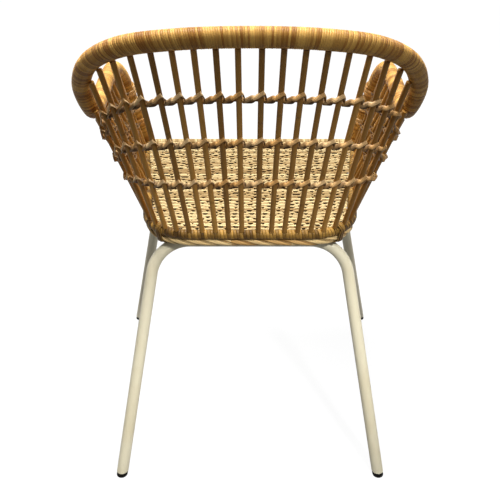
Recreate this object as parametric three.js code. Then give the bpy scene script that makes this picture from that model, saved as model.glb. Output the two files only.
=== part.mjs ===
// A rattan bistro chair: a tub-shaped basket of round stakes under one wrapped rail, on two bent steel tubes.
// Millimetres, +Z up. The origin is on the floor under the middle of the chair. The sitter faces -Y, left is +X.
import * as THREE from "three";

// Whole chair
const overallDepth = 541;
const clearance = 0.3; // between two pieces that touch

// Seat ring: a bent pole inside a wrapping of split cane
const seatHeight = 431; // top of the woven seat at its rear edge
const seatRise = 10; // the seat's front edge is this much higher than its rear edge
const seatThickness = 7;
const seatTopOverRing = 5; // from the ring's centre line up to the top of the seat
const ringRadius = 8;
const ringPoleRadius = 6.4;
const ringRearY = 137;
const ringRearHalfWidth = 164;
const ringSideHalfWidth = 184;
const ringSideY = -20; // where the ring's side stops widening
const ringFrontHalfWidth = 219;
const ringRearCornerRadius = 80;
const ringSideBendRadius = 300;
const ringFrontCornerRadius = 25;
const ringWrapWall = 1.3;

// Border: the bare cane loop under the seat ring
const borderRadius = 6;
const borderInset = 2;

// Rail: back, arms and front posts are one bent pole inside a wrapping
const railHeight = 328; // centre line behind the sitter, over the seat's rear edge
const railHalfWidth = 249; // centre line at the front end of the arms
const railRadius = 13.7;
const railPoleRadius = 11.6;
const railWrapWall = 1.7;
const armHeight = 190; // centre line of the arms, over the seat's rear edge
const armFrontY = -146; // where the arms turn down into the front posts
// From the middle of the back to the arm: shares of railHalfWidth, of the rail's rear y,
// and of the climb from the arms to the back
const railRouteShares = [
  [0, 1, 1],
  [0.37, 1, 0.98],
  [0.66, 0.937, 0.89],
  [0.85, 0.807, 0.69],
  [0.94, 0.653, 0.39],
  [0.932, 0.512, 0.08],
  [0.958, 0.25, -0.03],
  [0.993, -0.24, 0],
];
// From the arm's front end to the post's foot: shares of the way in x, y and z
const postRouteShares = [
  [0.11, 0.45, 0.15],
  [0.44, 0.78, 0.54],
];

// Stakes: straight round canes between the ring and the rail
const stakeRadius = 4;
const stakesPerSide = 20;
const rearStakesPerSide = 9; // these stand at the rear pitch, the others share the rest of the side
const firstStakeOnRing = 13; // from the middle of the back, along the ring
const firstStakeOnRail = 15;
const rearPitchOnRing = 20.8;
const rearPitchOnRail = 27.8;
const lastStakeToPost = 27; // along the ring, from the last stake to the post's foot
const lastStakeToBend = 6; // along the rail, past the point where the arm turns down

// Twining: three rows, each one doubled cane twisted half a turn between one stake and the next
const strandWidth = 6.5;
const strandThickness = 2.4;
const strandStakeGap = 2.0;
const strandCrossGap = 3.6; // between the two strands, halfway from stake to stake
const strandTail = 11; // free ends beyond the last stake
const rowNames = ["top", "middle", "bottom"];
const rowRearShares = [0.75, 0.533, 0.313]; // of the way up a stake, behind the sitter
const rowSideShares = [0.75, 0.54, 0.36]; // the same beside the sitter
const rowBlendFirstStake = 5; // the rows change from the rear shares to the side shares
const rowBlendLastStake = 10;

// Corner bindings: thin cane wound round the ring and the border
const bindingLoops = 3;
const bindingCaneRadius = 1.1;
const bindingPitch = 2.8;
const bindingGap = 0.6; // to the poles that it binds
const bindingAfterStake = 7; // counted from the middle of the back
const bindingNotchMargin = 2.2; // room beside the turns in the seat's edge

// Bearers: two poles that carry the seat on the leg tubes
const bearerRadius = 9;
const bearerX = ringRearHalfWidth - ringRearCornerRadius - bearerRadius; // where the ring's back is still straight

// Leg frames: two bent tubes
const tubeRadius = 10;
const tubeWall = 1.5;
const legBendRadius = 66;
const rearTopY = 102;
const rearFootX = 226.5;
const rearFootY = 238;
const rearTopHalfWidth = 156; // where the leg's line meets the line of the top
const frontTopY = -150;
const frontFootX = 262;
const frontFootY = -249;
const frontTopHalfWidth = 172;

// Glides: black plastic feet plugged into the tubes
const glideHeight = 8;
const glideRadius = 9.6;
const glideEdge = 1.6; // rounding where it meets the floor
const glidePlugLength = 20;
const glidePlugGap = 0.5;

// Steps and sides of the round pieces
const turnPerStep = THREE.MathUtils.degToRad(12);
const railFineSteps = 160;
const railLongestStep = 90;
const railSides = 12;
const poleSides = 8;
const ringPoleSides = 6;
const tubeSides = 12;
const boreSides = 8;
const glideSides = 12;
const loopSteps = 24;
const loopSides = 6;
const approachSteps = 40;

const ringFrontY = ringRadius - overallDepth / 2;
const railRearY = overallDepth / 2 - railRadius;
const seatSlope = seatRise / (ringFrontY - ringRearY);
const ringRearZ = seatHeight - seatTopOverRing;

const up = new THREE.Vector3(0, 0, 1);
const across = new THREE.Vector3(0, 1, 0);

// Height of the ring's centre line, which lies in a plane that rises to the front
function ringZ(y) {
  return ringRearZ + (y - ringRearY) * seatSlope;
}

// A polyline measured by its length, and by its length as seen from above
class Path {
  constructor(points) {
    this.points = points;
    this.lengths = [0];
    this.levelLengths = [0];
    for (let i = 1; i < points.length; i += 1) {
      const step = points[i].clone().sub(points[i - 1]);
      this.lengths.push(this.lengths[i - 1] + step.length());
      this.levelLengths.push(this.levelLengths[i - 1] + step.setZ(0).length());
    }
    this.length = this.lengths[points.length - 1];
  }

  // The length along the path where its length seen from above is `level`
  fromLevel(level) {
    const i = Math.max(this.levelLengths.findIndex((length) => level <= length), 1);
    const share = (level - this.levelLengths[i - 1]) / (this.levelLengths[i] - this.levelLengths[i - 1]);
    return THREE.MathUtils.lerp(this.lengths[i - 1], this.lengths[i], share);
  }

  segmentAt(s) {
    const found = this.lengths.findIndex((length, i) => i > 0 && s <= length);
    return found < 1 ? this.points.length - 1 : found;
  }

  pointAt(s) {
    const i = this.segmentAt(s);
    const share = (s - this.lengths[i - 1]) / (this.lengths[i] - this.lengths[i - 1]);
    return this.points[i - 1].clone().lerp(this.points[i], share);
  }

  distanceTo(point) {
    const segment = new THREE.Line3();
    const near = new THREE.Vector3();
    let least = Infinity;
    for (let i = 1; i < this.points.length; i += 1) {
      segment.set(this.points[i - 1], this.points[i]).closestPointToPoint(point, true, near);
      least = Math.min(least, near.distanceTo(point));
    }
    return least;
  }

  // How far a line runs from `start` along `way` before it comes as near as `limit` to the path
  runTo(start, way, limit) {
    let run = 0;
    for (let i = 0; i < approachSteps; i += 1) {
      run += this.distanceTo(offsetPoint(start, [way, run])) - limit;
    }
    return run;
  }

  // Middle and direction of the chord that reaches `half` each way from s
  chordAt(s, half) {
    const start = this.pointAt(s - half);
    const end = this.pointAt(s + half);
    const middle = start.clone().add(end).multiplyScalar(1 / 2);
    return { middle, direction: end.sub(start).normalize() };
  }
}

// A curve of fixed stations for ExtrudeGeometry. The section's first axis starts along `side` at the middle station
// and is carried both ways without twist. `ends` are the directions that the two end faces look along.
class StationCurve extends THREE.Curve {
  constructor(points, side, ends = []) {
    super();
    this.points = points;
    this.side = side;
    this.ends = ends;
  }

  get steps() {
    return this.points.length - 1;
  }

  getPointAt(share) {
    return this.points[Math.round(share * this.steps)].clone();
  }

  tangent(i) {
    if (i === 0 && this.ends[0]) return this.ends[0].clone();
    if (i === this.steps && this.ends[1]) return this.ends[1].clone();
    const here = this.points[i];
    const way = new THREE.Vector3();
    if (i > 0) way.add(here.clone().sub(this.points[i - 1]).normalize());
    if (i < this.steps) way.add(this.points[i + 1].clone().sub(here).normalize());
    return way.normalize();
  }

  computeFrenetFrames() {
    const tangents = this.points.map((point, i) => this.tangent(i));
    const normals = [];
    const middle = Math.floor(tangents.length / 2);
    normals[middle] = this.side.clone().projectOnPlane(tangents[middle]).normalize();
    const carry = (from, to) => {
      const turn = new THREE.Quaternion().setFromUnitVectors(tangents[from], tangents[to]);
      normals[to] = normals[from].clone().applyQuaternion(turn);
    };
    for (let i = middle + 1; i < tangents.length; i += 1) carry(i - 1, i);
    for (let i = middle - 1; i >= 0; i -= 1) carry(i + 1, i);
    const binormals = tangents.map((tangent, i) => tangent.clone().cross(normals[i]));
    return { tangents, normals, binormals };
  }
}

// Direction from the middle of the seat, level, out to a point
function outward(point) {
  const middleY = (ringRearY + ringFrontY) / 2;
  return new THREE.Vector3(point.x, point.y - middleY, 0).normalize();
}

function mirrored(point) {
  return new THREE.Vector3(-point.x, point.y, point.z);
}

// A half path from the middle of the back, and its mirror image, as one run from right to left
function bothSides(half) {
  const right = half.slice(1).reverse().map(mirrored);
  return [...right, ...half];
}

function polygon(radius, sides, path = new THREE.Shape()) {
  const corners = [];
  for (let i = 0; i < sides; i += 1) {
    const angle = (i / sides) * 2 * Math.PI;
    corners.push(new THREE.Vector2(Math.cos(angle), Math.sin(angle)).multiplyScalar(radius));
  }
  return path.setFromPoints(corners);
}

function rod(curve, radius, sides) {
  return new THREE.ExtrudeGeometry(polygon(radius, sides), { extrudePath: curve, steps: curve.steps });
}

function sleeve(curve, radius, sides, boreRadius, sidesOfBore) {
  const section = polygon(radius, sides);
  section.holes.push(polygon(boreRadius, sidesOfBore, new THREE.Path()));
  return new THREE.ExtrudeGeometry(section, { extrudePath: curve, steps: curve.steps });
}

// A closed body through rings of points that run counter-clockwise about the way they follow
function loft(rings) {
  const corners = [];
  const face = (a, b, c) => corners.push(a, b, c);
  const sides = rings[0].length;
  for (let j = 1; j < rings.length; j += 1) {
    for (let i = 0; i < sides; i += 1) {
      const next = (i + 1) % sides;
      face(rings[j - 1][i], rings[j - 1][next], rings[j][next]);
      face(rings[j - 1][i], rings[j][next], rings[j][i]);
    }
  }
  const last = rings.length - 1;
  for (let i = 1; i < sides - 1; i += 1) {
    face(rings[0][0], rings[0][i + 1], rings[0][i]);
    face(rings[last][0], rings[last][i], rings[last][i + 1]);
  }
  const geometry = new THREE.BufferGeometry().setFromPoints(corners);
  geometry.computeVertexNormals();
  return geometry;
}

function offsetPoint(base, ...moves) {
  const point = base.clone();
  moves.forEach(([direction, length]) => point.addScaledVector(direction, length));
  return point;
}

// Points of a level outline whose inner corners are rounded
function rounded(corners) {
  const points = [corners[0].at.clone()];
  corners.slice(1, -1).forEach(({ at, radius }, i) => {
    const back = corners[i].at.clone().sub(at).normalize();
    const ahead = corners[i + 2].at.clone().sub(at).normalize();
    const half = back.angleTo(ahead) / 2;
    const centre = back.clone().add(ahead).normalize().multiplyScalar(radius / Math.sin(half)).add(at);
    const start = back.multiplyScalar(radius / Math.tan(half)).add(at);
    const turn = Math.PI - 2 * half;
    const steps = Math.ceil(turn / turnPerStep);
    const axis = start.clone().sub(centre).cross(at.clone().sub(centre)).normalize();
    for (let step = 0; step <= steps; step += 1) {
      const arm = start.clone().sub(centre).applyAxisAngle(axis, (turn * step) / steps);
      points.push(arm.add(centre));
    }
  });
  points.push(corners[corners.length - 1].at.clone());
  return points;
}

// Half of the ring's centre line, from the middle of the back to the middle of the front
function ringHalf(inset, drop) {
  const corner = (x, y, radius) => ({ at: new THREE.Vector3(x, y, 0), radius: radius - inset });
  const level = rounded([
    corner(0, ringRearY - inset, 0),
    corner(ringRearHalfWidth - inset, ringRearY - inset, ringRearCornerRadius),
    corner(ringSideHalfWidth - inset, ringSideY, ringSideBendRadius),
    corner(ringFrontHalfWidth - inset, ringFrontY + inset, ringFrontCornerRadius),
    corner(clearance / 2, ringFrontY + inset, 0),
  ]);
  return level.map((point) => point.setZ(ringZ(point.y) - drop));
}

const ringPath = new Path(ringHalf(0, 0));

// The post stands on the ring's front corner, at the middle of its round stretch
function postFoot() {
  const inCorner = ringFrontCornerRadius * (1 - Math.SQRT1_2);
  const y = ringFrontY + inCorner;
  return new THREE.Vector3(ringFrontHalfWidth - inCorner, y, ringZ(y) + ringRadius + clearance);
}

// Keeps the points of a fine run where the way has turned by one step, or where a step would be too long
function thinned(points) {
  const kept = [points[0]];
  let way = points[1].clone().sub(points[0]);
  for (let i = 1; i < points.length - 1; i += 1) {
    const next = points[i + 1].clone().sub(points[i]);
    const run = points[i].distanceTo(kept[kept.length - 1]);
    if (way.angleTo(next) >= turnPerStep || run >= railLongestStep) {
      kept.push(points[i]);
      way = next;
    }
  }
  kept.push(points[points.length - 1]);
  return kept;
}

const armZ = seatHeight + armHeight;
const armFront = new THREE.Vector3(railHalfWidth, armFrontY, armZ);

// Half of the rail's centre line, from the middle of the back to the foot of the front post
function railHalf() {
  const foot = postFoot();
  const climb = railHeight - armHeight;
  const back = railRouteShares.map(
    ([x, y, z]) => new THREE.Vector3(railHalfWidth * x, railRearY * y, armZ + climb * z),
  );
  const post = postRouteShares.map(([x, y, z]) =>
    foot.clone().sub(armFront).multiply(new THREE.Vector3(x, y, z)).add(armFront),
  );
  const half = [...back, armFront, ...post, foot];
  const curve = new THREE.CatmullRomCurve3(bothSides(half), false, "centripetal");
  const fine = curve.getSpacedPoints(2 * railFineSteps).slice(railFineSteps);
  return thinned(fine);
}

const railPath = new Path(railHalf());

function nearestLength(path, target) {
  let best = 0;
  path.points.forEach((point, i) => {
    if (point.distanceTo(target) < path.pointAt(best).distanceTo(target)) best = path.lengths[i];
  });
  return best;
}

// Places of the stakes of one side along the ring and the rail
function stakePlaces() {
  const lastRear = rearStakesPerSide - 1;
  const ringStart = firstStakeOnRing + lastRear * rearPitchOnRing;
  const railStart = firstStakeOnRail + lastRear * rearPitchOnRail;
  const ringEnd = nearestLength(ringPath, postFoot()) - lastStakeToPost;
  const bend = railPath.lengths.indexOf(nearestLength(railPath, armFront));
  const railEnd = railPath.levelLengths[bend] + lastStakeToBend;
  const places = [];
  for (let k = 0; k < stakesPerSide; k += 1) {
    const beyond = (k - lastRear) / (stakesPerSide - 1 - lastRear);
    const inRear = k <= lastRear;
    const onRing = inRear ? firstStakeOnRing + k * rearPitchOnRing : THREE.MathUtils.lerp(ringStart, ringEnd, beyond);
    const level = inRear ? firstStakeOnRail + k * rearPitchOnRail : THREE.MathUtils.lerp(railStart, railEnd, beyond);
    places.push([onRing, railPath.fromLevel(level)]);
  }
  return places;
}

const places = stakePlaces();

function stakeAxis([onRing, onRail]) {
  const foot = ringPath.pointAt(onRing);
  const head = railPath.pointAt(onRail);
  return { foot, head, way: head.clone().sub(foot).normalize() };
}

const axes = places.map(stakeAxis);

// Where the lines of a stake end: on one plane that lies along a round piece and just clears its surface
function cutLines(lines, way, path, s, radius) {
  const { direction } = path.chordAt(s, radius);
  const normal = way.clone().projectOnPlane(direction).normalize();
  const plane = lines.map((line) => normal.dot(lines[0].clone().sub(line)) / normal.dot(way));
  const shift = Math.min(...lines.map((line, i) => path.runTo(line, way, radius + clearance) - plane[i]));
  return lines.slice(1).map((line, i) => offsetPoint(line, [way, plane[i + 1] + shift]));
}

function stakeGeometry(k) {
  const { foot, head, way } = axes[k];
  const [onRing, onRail] = places[k];
  const middle = foot.clone().lerp(head, 1 / 2);
  const first = outward(foot).projectOnPlane(way).normalize();
  const second = way.clone().cross(first);
  const corners = polygon(stakeRadius, poleSides).getPoints().slice(0, poleSides);
  const around = corners.map((corner) => offsetPoint(middle, [first, corner.x], [second, corner.y]));
  const lines = [middle, ...around];
  const low = cutLines(lines, way.clone().negate(), ringPath, onRing, ringRadius);
  const high = cutLines(lines, way, railPath, onRail, railRadius);
  return loft([low, high]);
}

// Share of the way up stake k at which a row crosses it
function rowShare(row, k) {
  const blend = THREE.MathUtils.smoothstep(k, rowBlendFirstStake, rowBlendLastStake);
  return THREE.MathUtils.lerp(rowRearShares[row], rowSideShares[row], blend);
}

// Where a row crosses every stake, from the right front round the back to the left front
function rowCrossings(row) {
  const left = axes.map(({ foot, head, way }, k) => ({
    at: foot.clone().lerp(head, rowShare(row, k)),
    up: way.clone(),
  }));
  const right = left.map(({ at, up: way }) => ({ at: mirrored(at), up: mirrored(way) })).reverse();
  const crossings = [...right, ...left];
  crossings.forEach((crossing, i) => {
    const before = Math.max(i - 1, 0);
    const after = Math.min(i + 1, crossings.length - 1);
    crossing.travel = crossings[after].at.clone().sub(crossings[before].at).divideScalar(after - before);
    crossing.along = crossing.travel.clone().projectOnPlane(crossing.up).normalize();
    crossing.out = crossing.up.clone().cross(crossing.along);
  });
  return crossings;
}

// The place halfway between two stakes, on the smooth curve through the crossings
function between(a, b) {
  const mean = (key) => a[key].clone().add(b[key]).multiplyScalar(1 / 2);
  const bulge = a.travel.clone().sub(b.travel).multiplyScalar(1 / 8);
  return { at: mean("at").add(bulge), up: mean("up").normalize(), out: mean("out").normalize() };
}

function strandRing(centre, thin, wide) {
  const t = strandThickness / 2;
  const w = strandWidth / 2;
  const corners = [[t, -w], [t, w], [-t, w], [-t, -w]];
  return corners.map(([x, y]) => offsetPoint(centre, [thin, x], [wide, y]));
}

// One doubled cane: out along the row, round the last stake and back, each strand on the other's far side
function twiningGeometry(row) {
  const crossings = rowCrossings(row);
  const stations = crossings.flatMap((crossing, i) =>
    i === 0 ? [crossing] : [between(crossings[i - 1], crossing), crossing],
  );
  const reach = stakeRadius + strandStakeGap + strandThickness / 2;
  const climb = (strandThickness + strandCrossGap) / 2;
  const strand = stations.map(({ at, up: stakeUp, out }, i) => {
    const turn = (i / 2) * Math.PI;
    const offset = [[out, reach * Math.cos(turn)], [stakeUp, -climb * Math.sin(turn)]];
    const thin = out.clone().multiplyScalar(Math.cos(turn)).addScaledVector(stakeUp, -Math.sin(turn));
    const wide = stakeUp.clone().multiplyScalar(Math.cos(turn)).addScaledVector(out, Math.sin(turn));
    return { at, offset, thin, wide };
  });
  const first = strand[0];
  const tail = [crossings[0].along, -strandTail];
  const going = strand.map(({ at, offset, thin, wide }) => strandRing(offsetPoint(at, ...offset), thin, wide));
  const coming = strand.map(({ at, offset, thin, wide }) => {
    const other = offset.map(([direction, length]) => [direction, -length]);
    return strandRing(offsetPoint(at, ...other), thin.clone().negate(), wide);
  });
  const end = crossings[crossings.length - 1];
  const last = strand[strand.length - 1];
  const fold = [1 / 4, 1 / 2, 3 / 4].map((share) => {
    const angle = share * Math.PI;
    const arm = last.thin.clone().multiplyScalar(Math.cos(angle)).addScaledVector(end.along, Math.sin(angle));
    return strandRing(offsetPoint(end.at, [arm, reach]), arm, last.wide);
  });
  const goingTail = strandRing(offsetPoint(first.at, ...first.offset, tail), first.thin, first.wide);
  const otherOffset = first.offset.map(([direction, length]) => [direction, -length]);
  const otherThin = first.thin.clone().negate();
  const comingTail = strandRing(offsetPoint(first.at, ...otherOffset, tail), otherThin, first.wide);
  return loft([goingTail, ...going, ...fold, ...coming.reverse(), comingTail]);
}

// The middle of the corner binding, along the ring
function bindingPlace() {
  return (places[bindingAfterStake - 1][0] + places[bindingAfterStake][0]) / 2;
}

// Centre of the wound cane at an angle round the two poles, counted from straight up towards the outside
function bindingPoint(angle, along) {
  const { middle, direction } = ringPath.chordAt(bindingPlace(), bindingLoops * bindingPitch / 2);
  const out = outward(middle).projectOnPlane(direction).normalize();
  const high = out.clone().cross(direction).normalize();
  if (high.z < 0) high.negate();
  const arm = high.clone().multiplyScalar(Math.cos(angle)).addScaledVector(out, Math.sin(angle));
  const at = offsetPoint(middle, [direction, along]);
  const borderAt = offsetPoint(at, [high, -(ringRadius + clearance + borderRadius)], [out, -borderInset]);
  const poles = [[at, ringRadius], [borderAt, borderRadius]].map(([centre, radius]) =>
    offsetPoint(centre, [arm, radius + bindingGap + bindingCaneRadius]),
  );
  const centre = poles[0].clone().sub(poles[1]).dot(arm) > 0 ? poles[0] : poles[1];
  return { centre, arm };
}

function bindingStations() {
  const count = bindingLoops * loopSteps;
  const stations = [];
  for (let i = 0; i <= count; i += 1) {
    const turns = i / loopSteps;
    const along = (turns - bindingLoops / 2) * bindingPitch;
    stations.push(bindingPoint(2 * Math.PI * turns - Math.PI / 2, along));
  }
  return stations;
}

// The least distance between the surfaces of two turns, measured from point to point
function leastSelfGap(stations) {
  let least = Infinity;
  stations.forEach((a, i) => {
    stations.slice(i + loopSteps / 2).forEach((b) => {
      least = Math.min(least, a.centre.distanceTo(b.centre) - 2 * bindingCaneRadius);
    });
  });
  return least;
}

function bindingGeometry(stations, side) {
  const place = (point) => (side > 0 ? point : mirrored(point));
  const run = stations.map(({ centre, arm }) => ({ centre: place(centre), arm: place(arm) }));
  const count = run.length - 1;
  const rings = run.map(({ centre, arm }, i) => {
    const before = run[Math.max(i - 1, 0)].centre;
    const after = run[Math.min(i + 1, count)].centre;
    const travel = after.clone().sub(before).normalize();
    const first = arm.clone().projectOnPlane(travel).normalize();
    const second = travel.clone().cross(first);
    return polygon(bindingCaneRadius, loopSides).getPoints().slice(0, loopSides).map((corner) =>
      offsetPoint(centre, [first, corner.x], [second, corner.y]),
    );
  });
  const endRun = 2 * bindingCaneRadius;
  const startWay = run[0].centre.clone().sub(run[1].centre).normalize();
  const endWay = run[count].centre.clone().sub(run[count - 1].centre).normalize();
  const start = rings[0].map((point) => offsetPoint(point, [startWay, endRun]));
  const end = rings[count].map((point) => offsetPoint(point, [endWay, endRun]));
  return loft([start, ...rings, end]);
}

// Outline of the woven seat: inside the ring, drawn in where a corner binding passes
function seatOutline() {
  const half = (bindingLoops * bindingPitch) / 2 + bindingCaneRadius + bindingNotchMargin;
  const notch = [bindingPlace() - half, bindingPlace() + half];
  const inset = ringRadius + clearance;
  const deep = inset + 2 * bindingCaneRadius + bindingGap + clearance;
  const stops = ringPath.lengths.filter((s) => s < notch[0] || s > notch[1]);
  const marks = stops.map((s) => [s, inset]);
  marks.push([notch[0], inset], [notch[0], deep], [notch[1], deep], [notch[1], inset]);
  marks.sort((a, b) => a[0] - b[0] || (a[0] === notch[0] ? a[1] - b[1] : b[1] - a[1]));
  const left = marks.map(([s, depth]) => {
    const at = ringPath.pointAt(s);
    const way = ringPath.chordAt(s, clearance).direction;
    const inside = new THREE.Vector2(way.y, -way.x).normalize();
    const point = new THREE.Vector2(at.x, at.y);
    if (s === 0) return new THREE.Vector2(0, at.y - depth);
    return s === ringPath.length ? new THREE.Vector2(0, at.y + depth) : point.addScaledVector(inside, depth);
  });
  const right = left.slice(1, -1).reverse().map(({ x, y }) => new THREE.Vector2(-x, y));
  return [...left, ...right];
}

function seatGeometry() {
  const geometry = new THREE.ExtrudeGeometry(new THREE.Shape(seatOutline()), {
    depth: seatThickness,
    bevelEnabled: false,
  });
  const bottom = ringZ(0) + seatTopOverRing - seatThickness;
  geometry.applyMatrix4(new THREE.Matrix4().makeShear(0, 0, 0, seatSlope, 0, 0));
  return geometry.translate(0, 0, bottom);
}

// Height of a bearer's centre line
function bearerZ(y) {
  return ringZ(y) + seatTopOverRing - seatThickness - clearance - bearerRadius;
}

function bearerGeometry(side) {
  const rear = ringRearY - ringRadius - clearance;
  const front = ringFrontY + ringRadius + clearance;
  const points = [rear, front].map((y) => new THREE.Vector3(side * bearerX, y, bearerZ(y)));
  return rod(new StationCurve(points, up), bearerRadius, poleSides);
}

function legTopZ(y) {
  return bearerZ(y) - bearerRadius - clearance - tubeRadius;
}

// A bent tube from one foot up, across under the bearers and down to the other foot
function legFrameGeometry(footX, footY, topHalfWidth, topY) {
  const top = legTopZ(topY);
  const half = rounded([
    { at: new THREE.Vector3(0, topY, top) },
    { at: new THREE.Vector3(topHalfWidth, topY, top), radius: legBendRadius },
    { at: footPoint(footX, footY, topHalfWidth, topY) },
  ]);
  const ends = [up.clone(), up.clone().negate()];
  const curve = new StationCurve(bothSides(half), across, ends);
  return sleeve(curve, tubeRadius, tubeSides, tubeRadius - tubeWall, boreSides);
}

// How far a leg's line moves in x and y for each millimetre of height
function legLean(footX, footY, topHalfWidth, topY) {
  const top = legTopZ(topY);
  return new THREE.Vector2((topHalfWidth - footX) / top, (topY - footY) / top);
}

// Centre of the tube's lower end, on the leg's line just over the glide
function footPoint(footX, footY, topHalfWidth, topY) {
  const lean = legLean(footX, footY, topHalfWidth, topY);
  const z = glideHeight + clearance;
  return new THREE.Vector3(footX + lean.x * z, footY + lean.y * z, z);
}

function glideGeometry(footX, footY, topHalfWidth, topY, side) {
  const lean = legLean(footX, footY, topHalfWidth, topY);
  const plugRadius = tubeRadius - tubeWall - glidePlugGap;
  const plugTop = glideHeight + glidePlugLength;
  const profile = [
    [0, 0],
    [glideRadius - glideEdge, 0],
    [glideRadius, glideEdge],
    [glideRadius, glideHeight],
    [plugRadius * Math.cos(Math.PI / boreSides), glideHeight],
    [plugRadius * Math.cos(Math.PI / boreSides), plugTop],
    [0, plugTop],
  ].map(([x, z]) => new THREE.Vector2(x, z));
  const geometry = new THREE.LatheGeometry(profile, glideSides).rotateX(Math.PI / 2);
  geometry.applyMatrix4(new THREE.Matrix4().makeShear(0, 0, 0, 0, side * lean.x, lean.y));
  return geometry.translate(side * footX, footY, 0);
}

// Finishes
const finish = (color, roughness, metalness = 0) => new THREE.MeshStandardMaterial({ color, roughness, metalness });
const cane = finish(0xa87b45, 0.6);
const wrapping = finish(0xb98a4c, 0.5);
const pole = finish(0xc7a46c, 0.7);
const weave = finish(0xe6d09c, 0.7);
const paint = finish(0xebe4cf, 0.4);
const plastic = finish(0x171717, 0.55);

const chair = new THREE.Group();
const basket = new THREE.Group();
const legs = new THREE.Group();
chair.add(basket, legs);

function add(group, name, geometry, material) {
  const mesh = new THREE.Mesh(geometry, material);
  mesh.name = name;
  group.add(mesh);
}

const sides = [["left", 1], ["right", -1]];

// Rail and its pole
const railCurve = new StationCurve(bothSides(railPath.points), across, [up.clone(), up.clone().negate()]);
add(basket, "rail_wrap", sleeve(railCurve, railRadius, railSides, railRadius - railWrapWall, poleSides), wrapping);
add(basket, "rail_pole", rod(railCurve, railPoleRadius, poleSides), pole);

// Seat ring, its pole, and the border below
const ringCurve = new StationCurve(bothSides(ringPath.points), across);
const ringBore = ringRadius - ringWrapWall;
add(basket, "seat_ring_wrap", sleeve(ringCurve, ringRadius, poleSides, ringBore, ringPoleSides), wrapping);
add(basket, "seat_ring_pole", rod(ringCurve, ringPoleRadius, ringPoleSides), pole);
const borderDrop = ringRadius + clearance + borderRadius;
const borderCurve = new StationCurve(bothSides(ringHalf(borderInset, borderDrop)), across);
add(basket, "seat_border", rod(borderCurve, borderRadius, poleSides), cane);

// Woven seat and the bearers under it
add(basket, "woven_seat", seatGeometry(), weave);
sides.forEach(([name, side]) => add(basket, `seat_bearer_${name}`, bearerGeometry(side), pole));

// Stakes, counted from the middle of the back
axes.forEach((axis, k) => {
  const number = String(k + 1).padStart(2, "0");
  const geometry = stakeGeometry(k);
  add(basket, `stake_left_${number}`, geometry, cane);
  add(basket, `stake_right_${number}`, mirroredGeometry(geometry), cane);
});

// The mirror image of a body, with its faces turned to look out again
function mirroredGeometry(geometry) {
  const corners = geometry.getAttribute("position");
  const points = [];
  for (let i = 0; i < corners.count; i += 3) {
    const face = [0, 1, 2].map((j) => new THREE.Vector3().fromBufferAttribute(corners, i + j));
    points.push(...face.reverse().map(mirrored));
  }
  const made = new THREE.BufferGeometry().setFromPoints(points);
  made.computeVertexNormals();
  return made;
}

// Twined rows
rowNames.forEach((name, row) => add(basket, `twining_${name}`, twiningGeometry(row), cane));

// Corner bindings
const bindingRun = bindingStations();
console.log(`corner binding: least gap to itself ${leastSelfGap(bindingRun).toFixed(2)} mm`);
sides.forEach(([name, side]) => add(basket, `corner_binding_${name}`, bindingGeometry(bindingRun, side), cane));

// Leg frames and their glides
const frames = [
  ["rear", [rearFootX, rearFootY, rearTopHalfWidth, rearTopY]],
  ["front", [frontFootX, frontFootY, frontTopHalfWidth, frontTopY]],
];
frames.forEach(([where, sizes]) => {
  add(legs, `leg_frame_${where}`, legFrameGeometry(...sizes), paint);
  sides.forEach(([name, side]) => add(legs, `glide_${where}_${name}`, glideGeometry(...sizes, side), plastic));
});

export default chair;
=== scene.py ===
# %% [markdown]
# # A rattan tub chair on two bent tubes
#
# The real chair is a basket of round canes under one wrapped rail. It stands on two bent steel tubes. The
# CAD model already fixes every size. This lesson dresses it: each cell makes one piece or one finish, as
# a maker would see it.

# %% Load the frame
import math

import bpy
import numpy as np
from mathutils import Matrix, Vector


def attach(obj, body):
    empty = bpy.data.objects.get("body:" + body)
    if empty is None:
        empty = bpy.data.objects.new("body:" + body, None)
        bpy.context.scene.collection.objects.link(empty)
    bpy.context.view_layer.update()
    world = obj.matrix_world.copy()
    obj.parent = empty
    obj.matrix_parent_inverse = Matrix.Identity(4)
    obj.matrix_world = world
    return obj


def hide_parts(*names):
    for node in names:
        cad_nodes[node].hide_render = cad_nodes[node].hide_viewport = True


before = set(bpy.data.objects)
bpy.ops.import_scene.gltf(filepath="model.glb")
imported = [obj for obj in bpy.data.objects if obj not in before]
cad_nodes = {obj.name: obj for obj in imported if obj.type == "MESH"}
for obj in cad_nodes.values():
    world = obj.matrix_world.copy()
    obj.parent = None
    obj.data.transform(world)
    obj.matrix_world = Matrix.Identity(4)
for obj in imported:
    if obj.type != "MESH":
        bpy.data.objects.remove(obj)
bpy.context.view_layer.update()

mm = 0.001

# %% [markdown]
# ## Camera, light and floor
#
# The photograph looks at the chair from behind and a little above. A large soft lamp hangs overhead, so
# the rail and the seat are bright and what faces the camera is darker, as in the photograph. A weak lamp
# above the camera fills in. Two narrow ones light the legs: one from high behind, the other from the
# chair's right and low. The floor and the sky are plain white, but only for the camera and for
# reflections: as a light the sky is dim, so that pale paint doesn't burn out.

# %% Helpers for node trees and colours
def add(tree, kind, links=None, **settings):
    """Adds a node: settings are its properties, links give its inputs a value or another node's output."""
    node = tree.nodes.new(kind)
    for name, value in settings.items():
        setattr(node, name, value)
    for name, value in (links or {}).items():
        if isinstance(value, bpy.types.NodeSocket):
            tree.links.new(value, node.inputs[name])
        else:
            node.inputs[name].default_value = value
    return node.outputs


def linear(code):
    """A colour written as sRGB hex, in the linear values that Blender mixes."""
    values = [int(code[i : i + 2], 16) / 255 for i in (1, 3, 5)]
    return [v / 12.92 if v <= 0.04045 else ((v + 0.055) / 1.055) ** 2.4 for v in values] + [1.0]


print("middle grey #808080 in linear values:", round(linear("#808080")[0], 3))


def cleared(owner):
    """The empty node tree of a material or a world."""
    owner.use_nodes = True
    owner.node_tree.nodes.clear()
    return owner.node_tree


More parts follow.
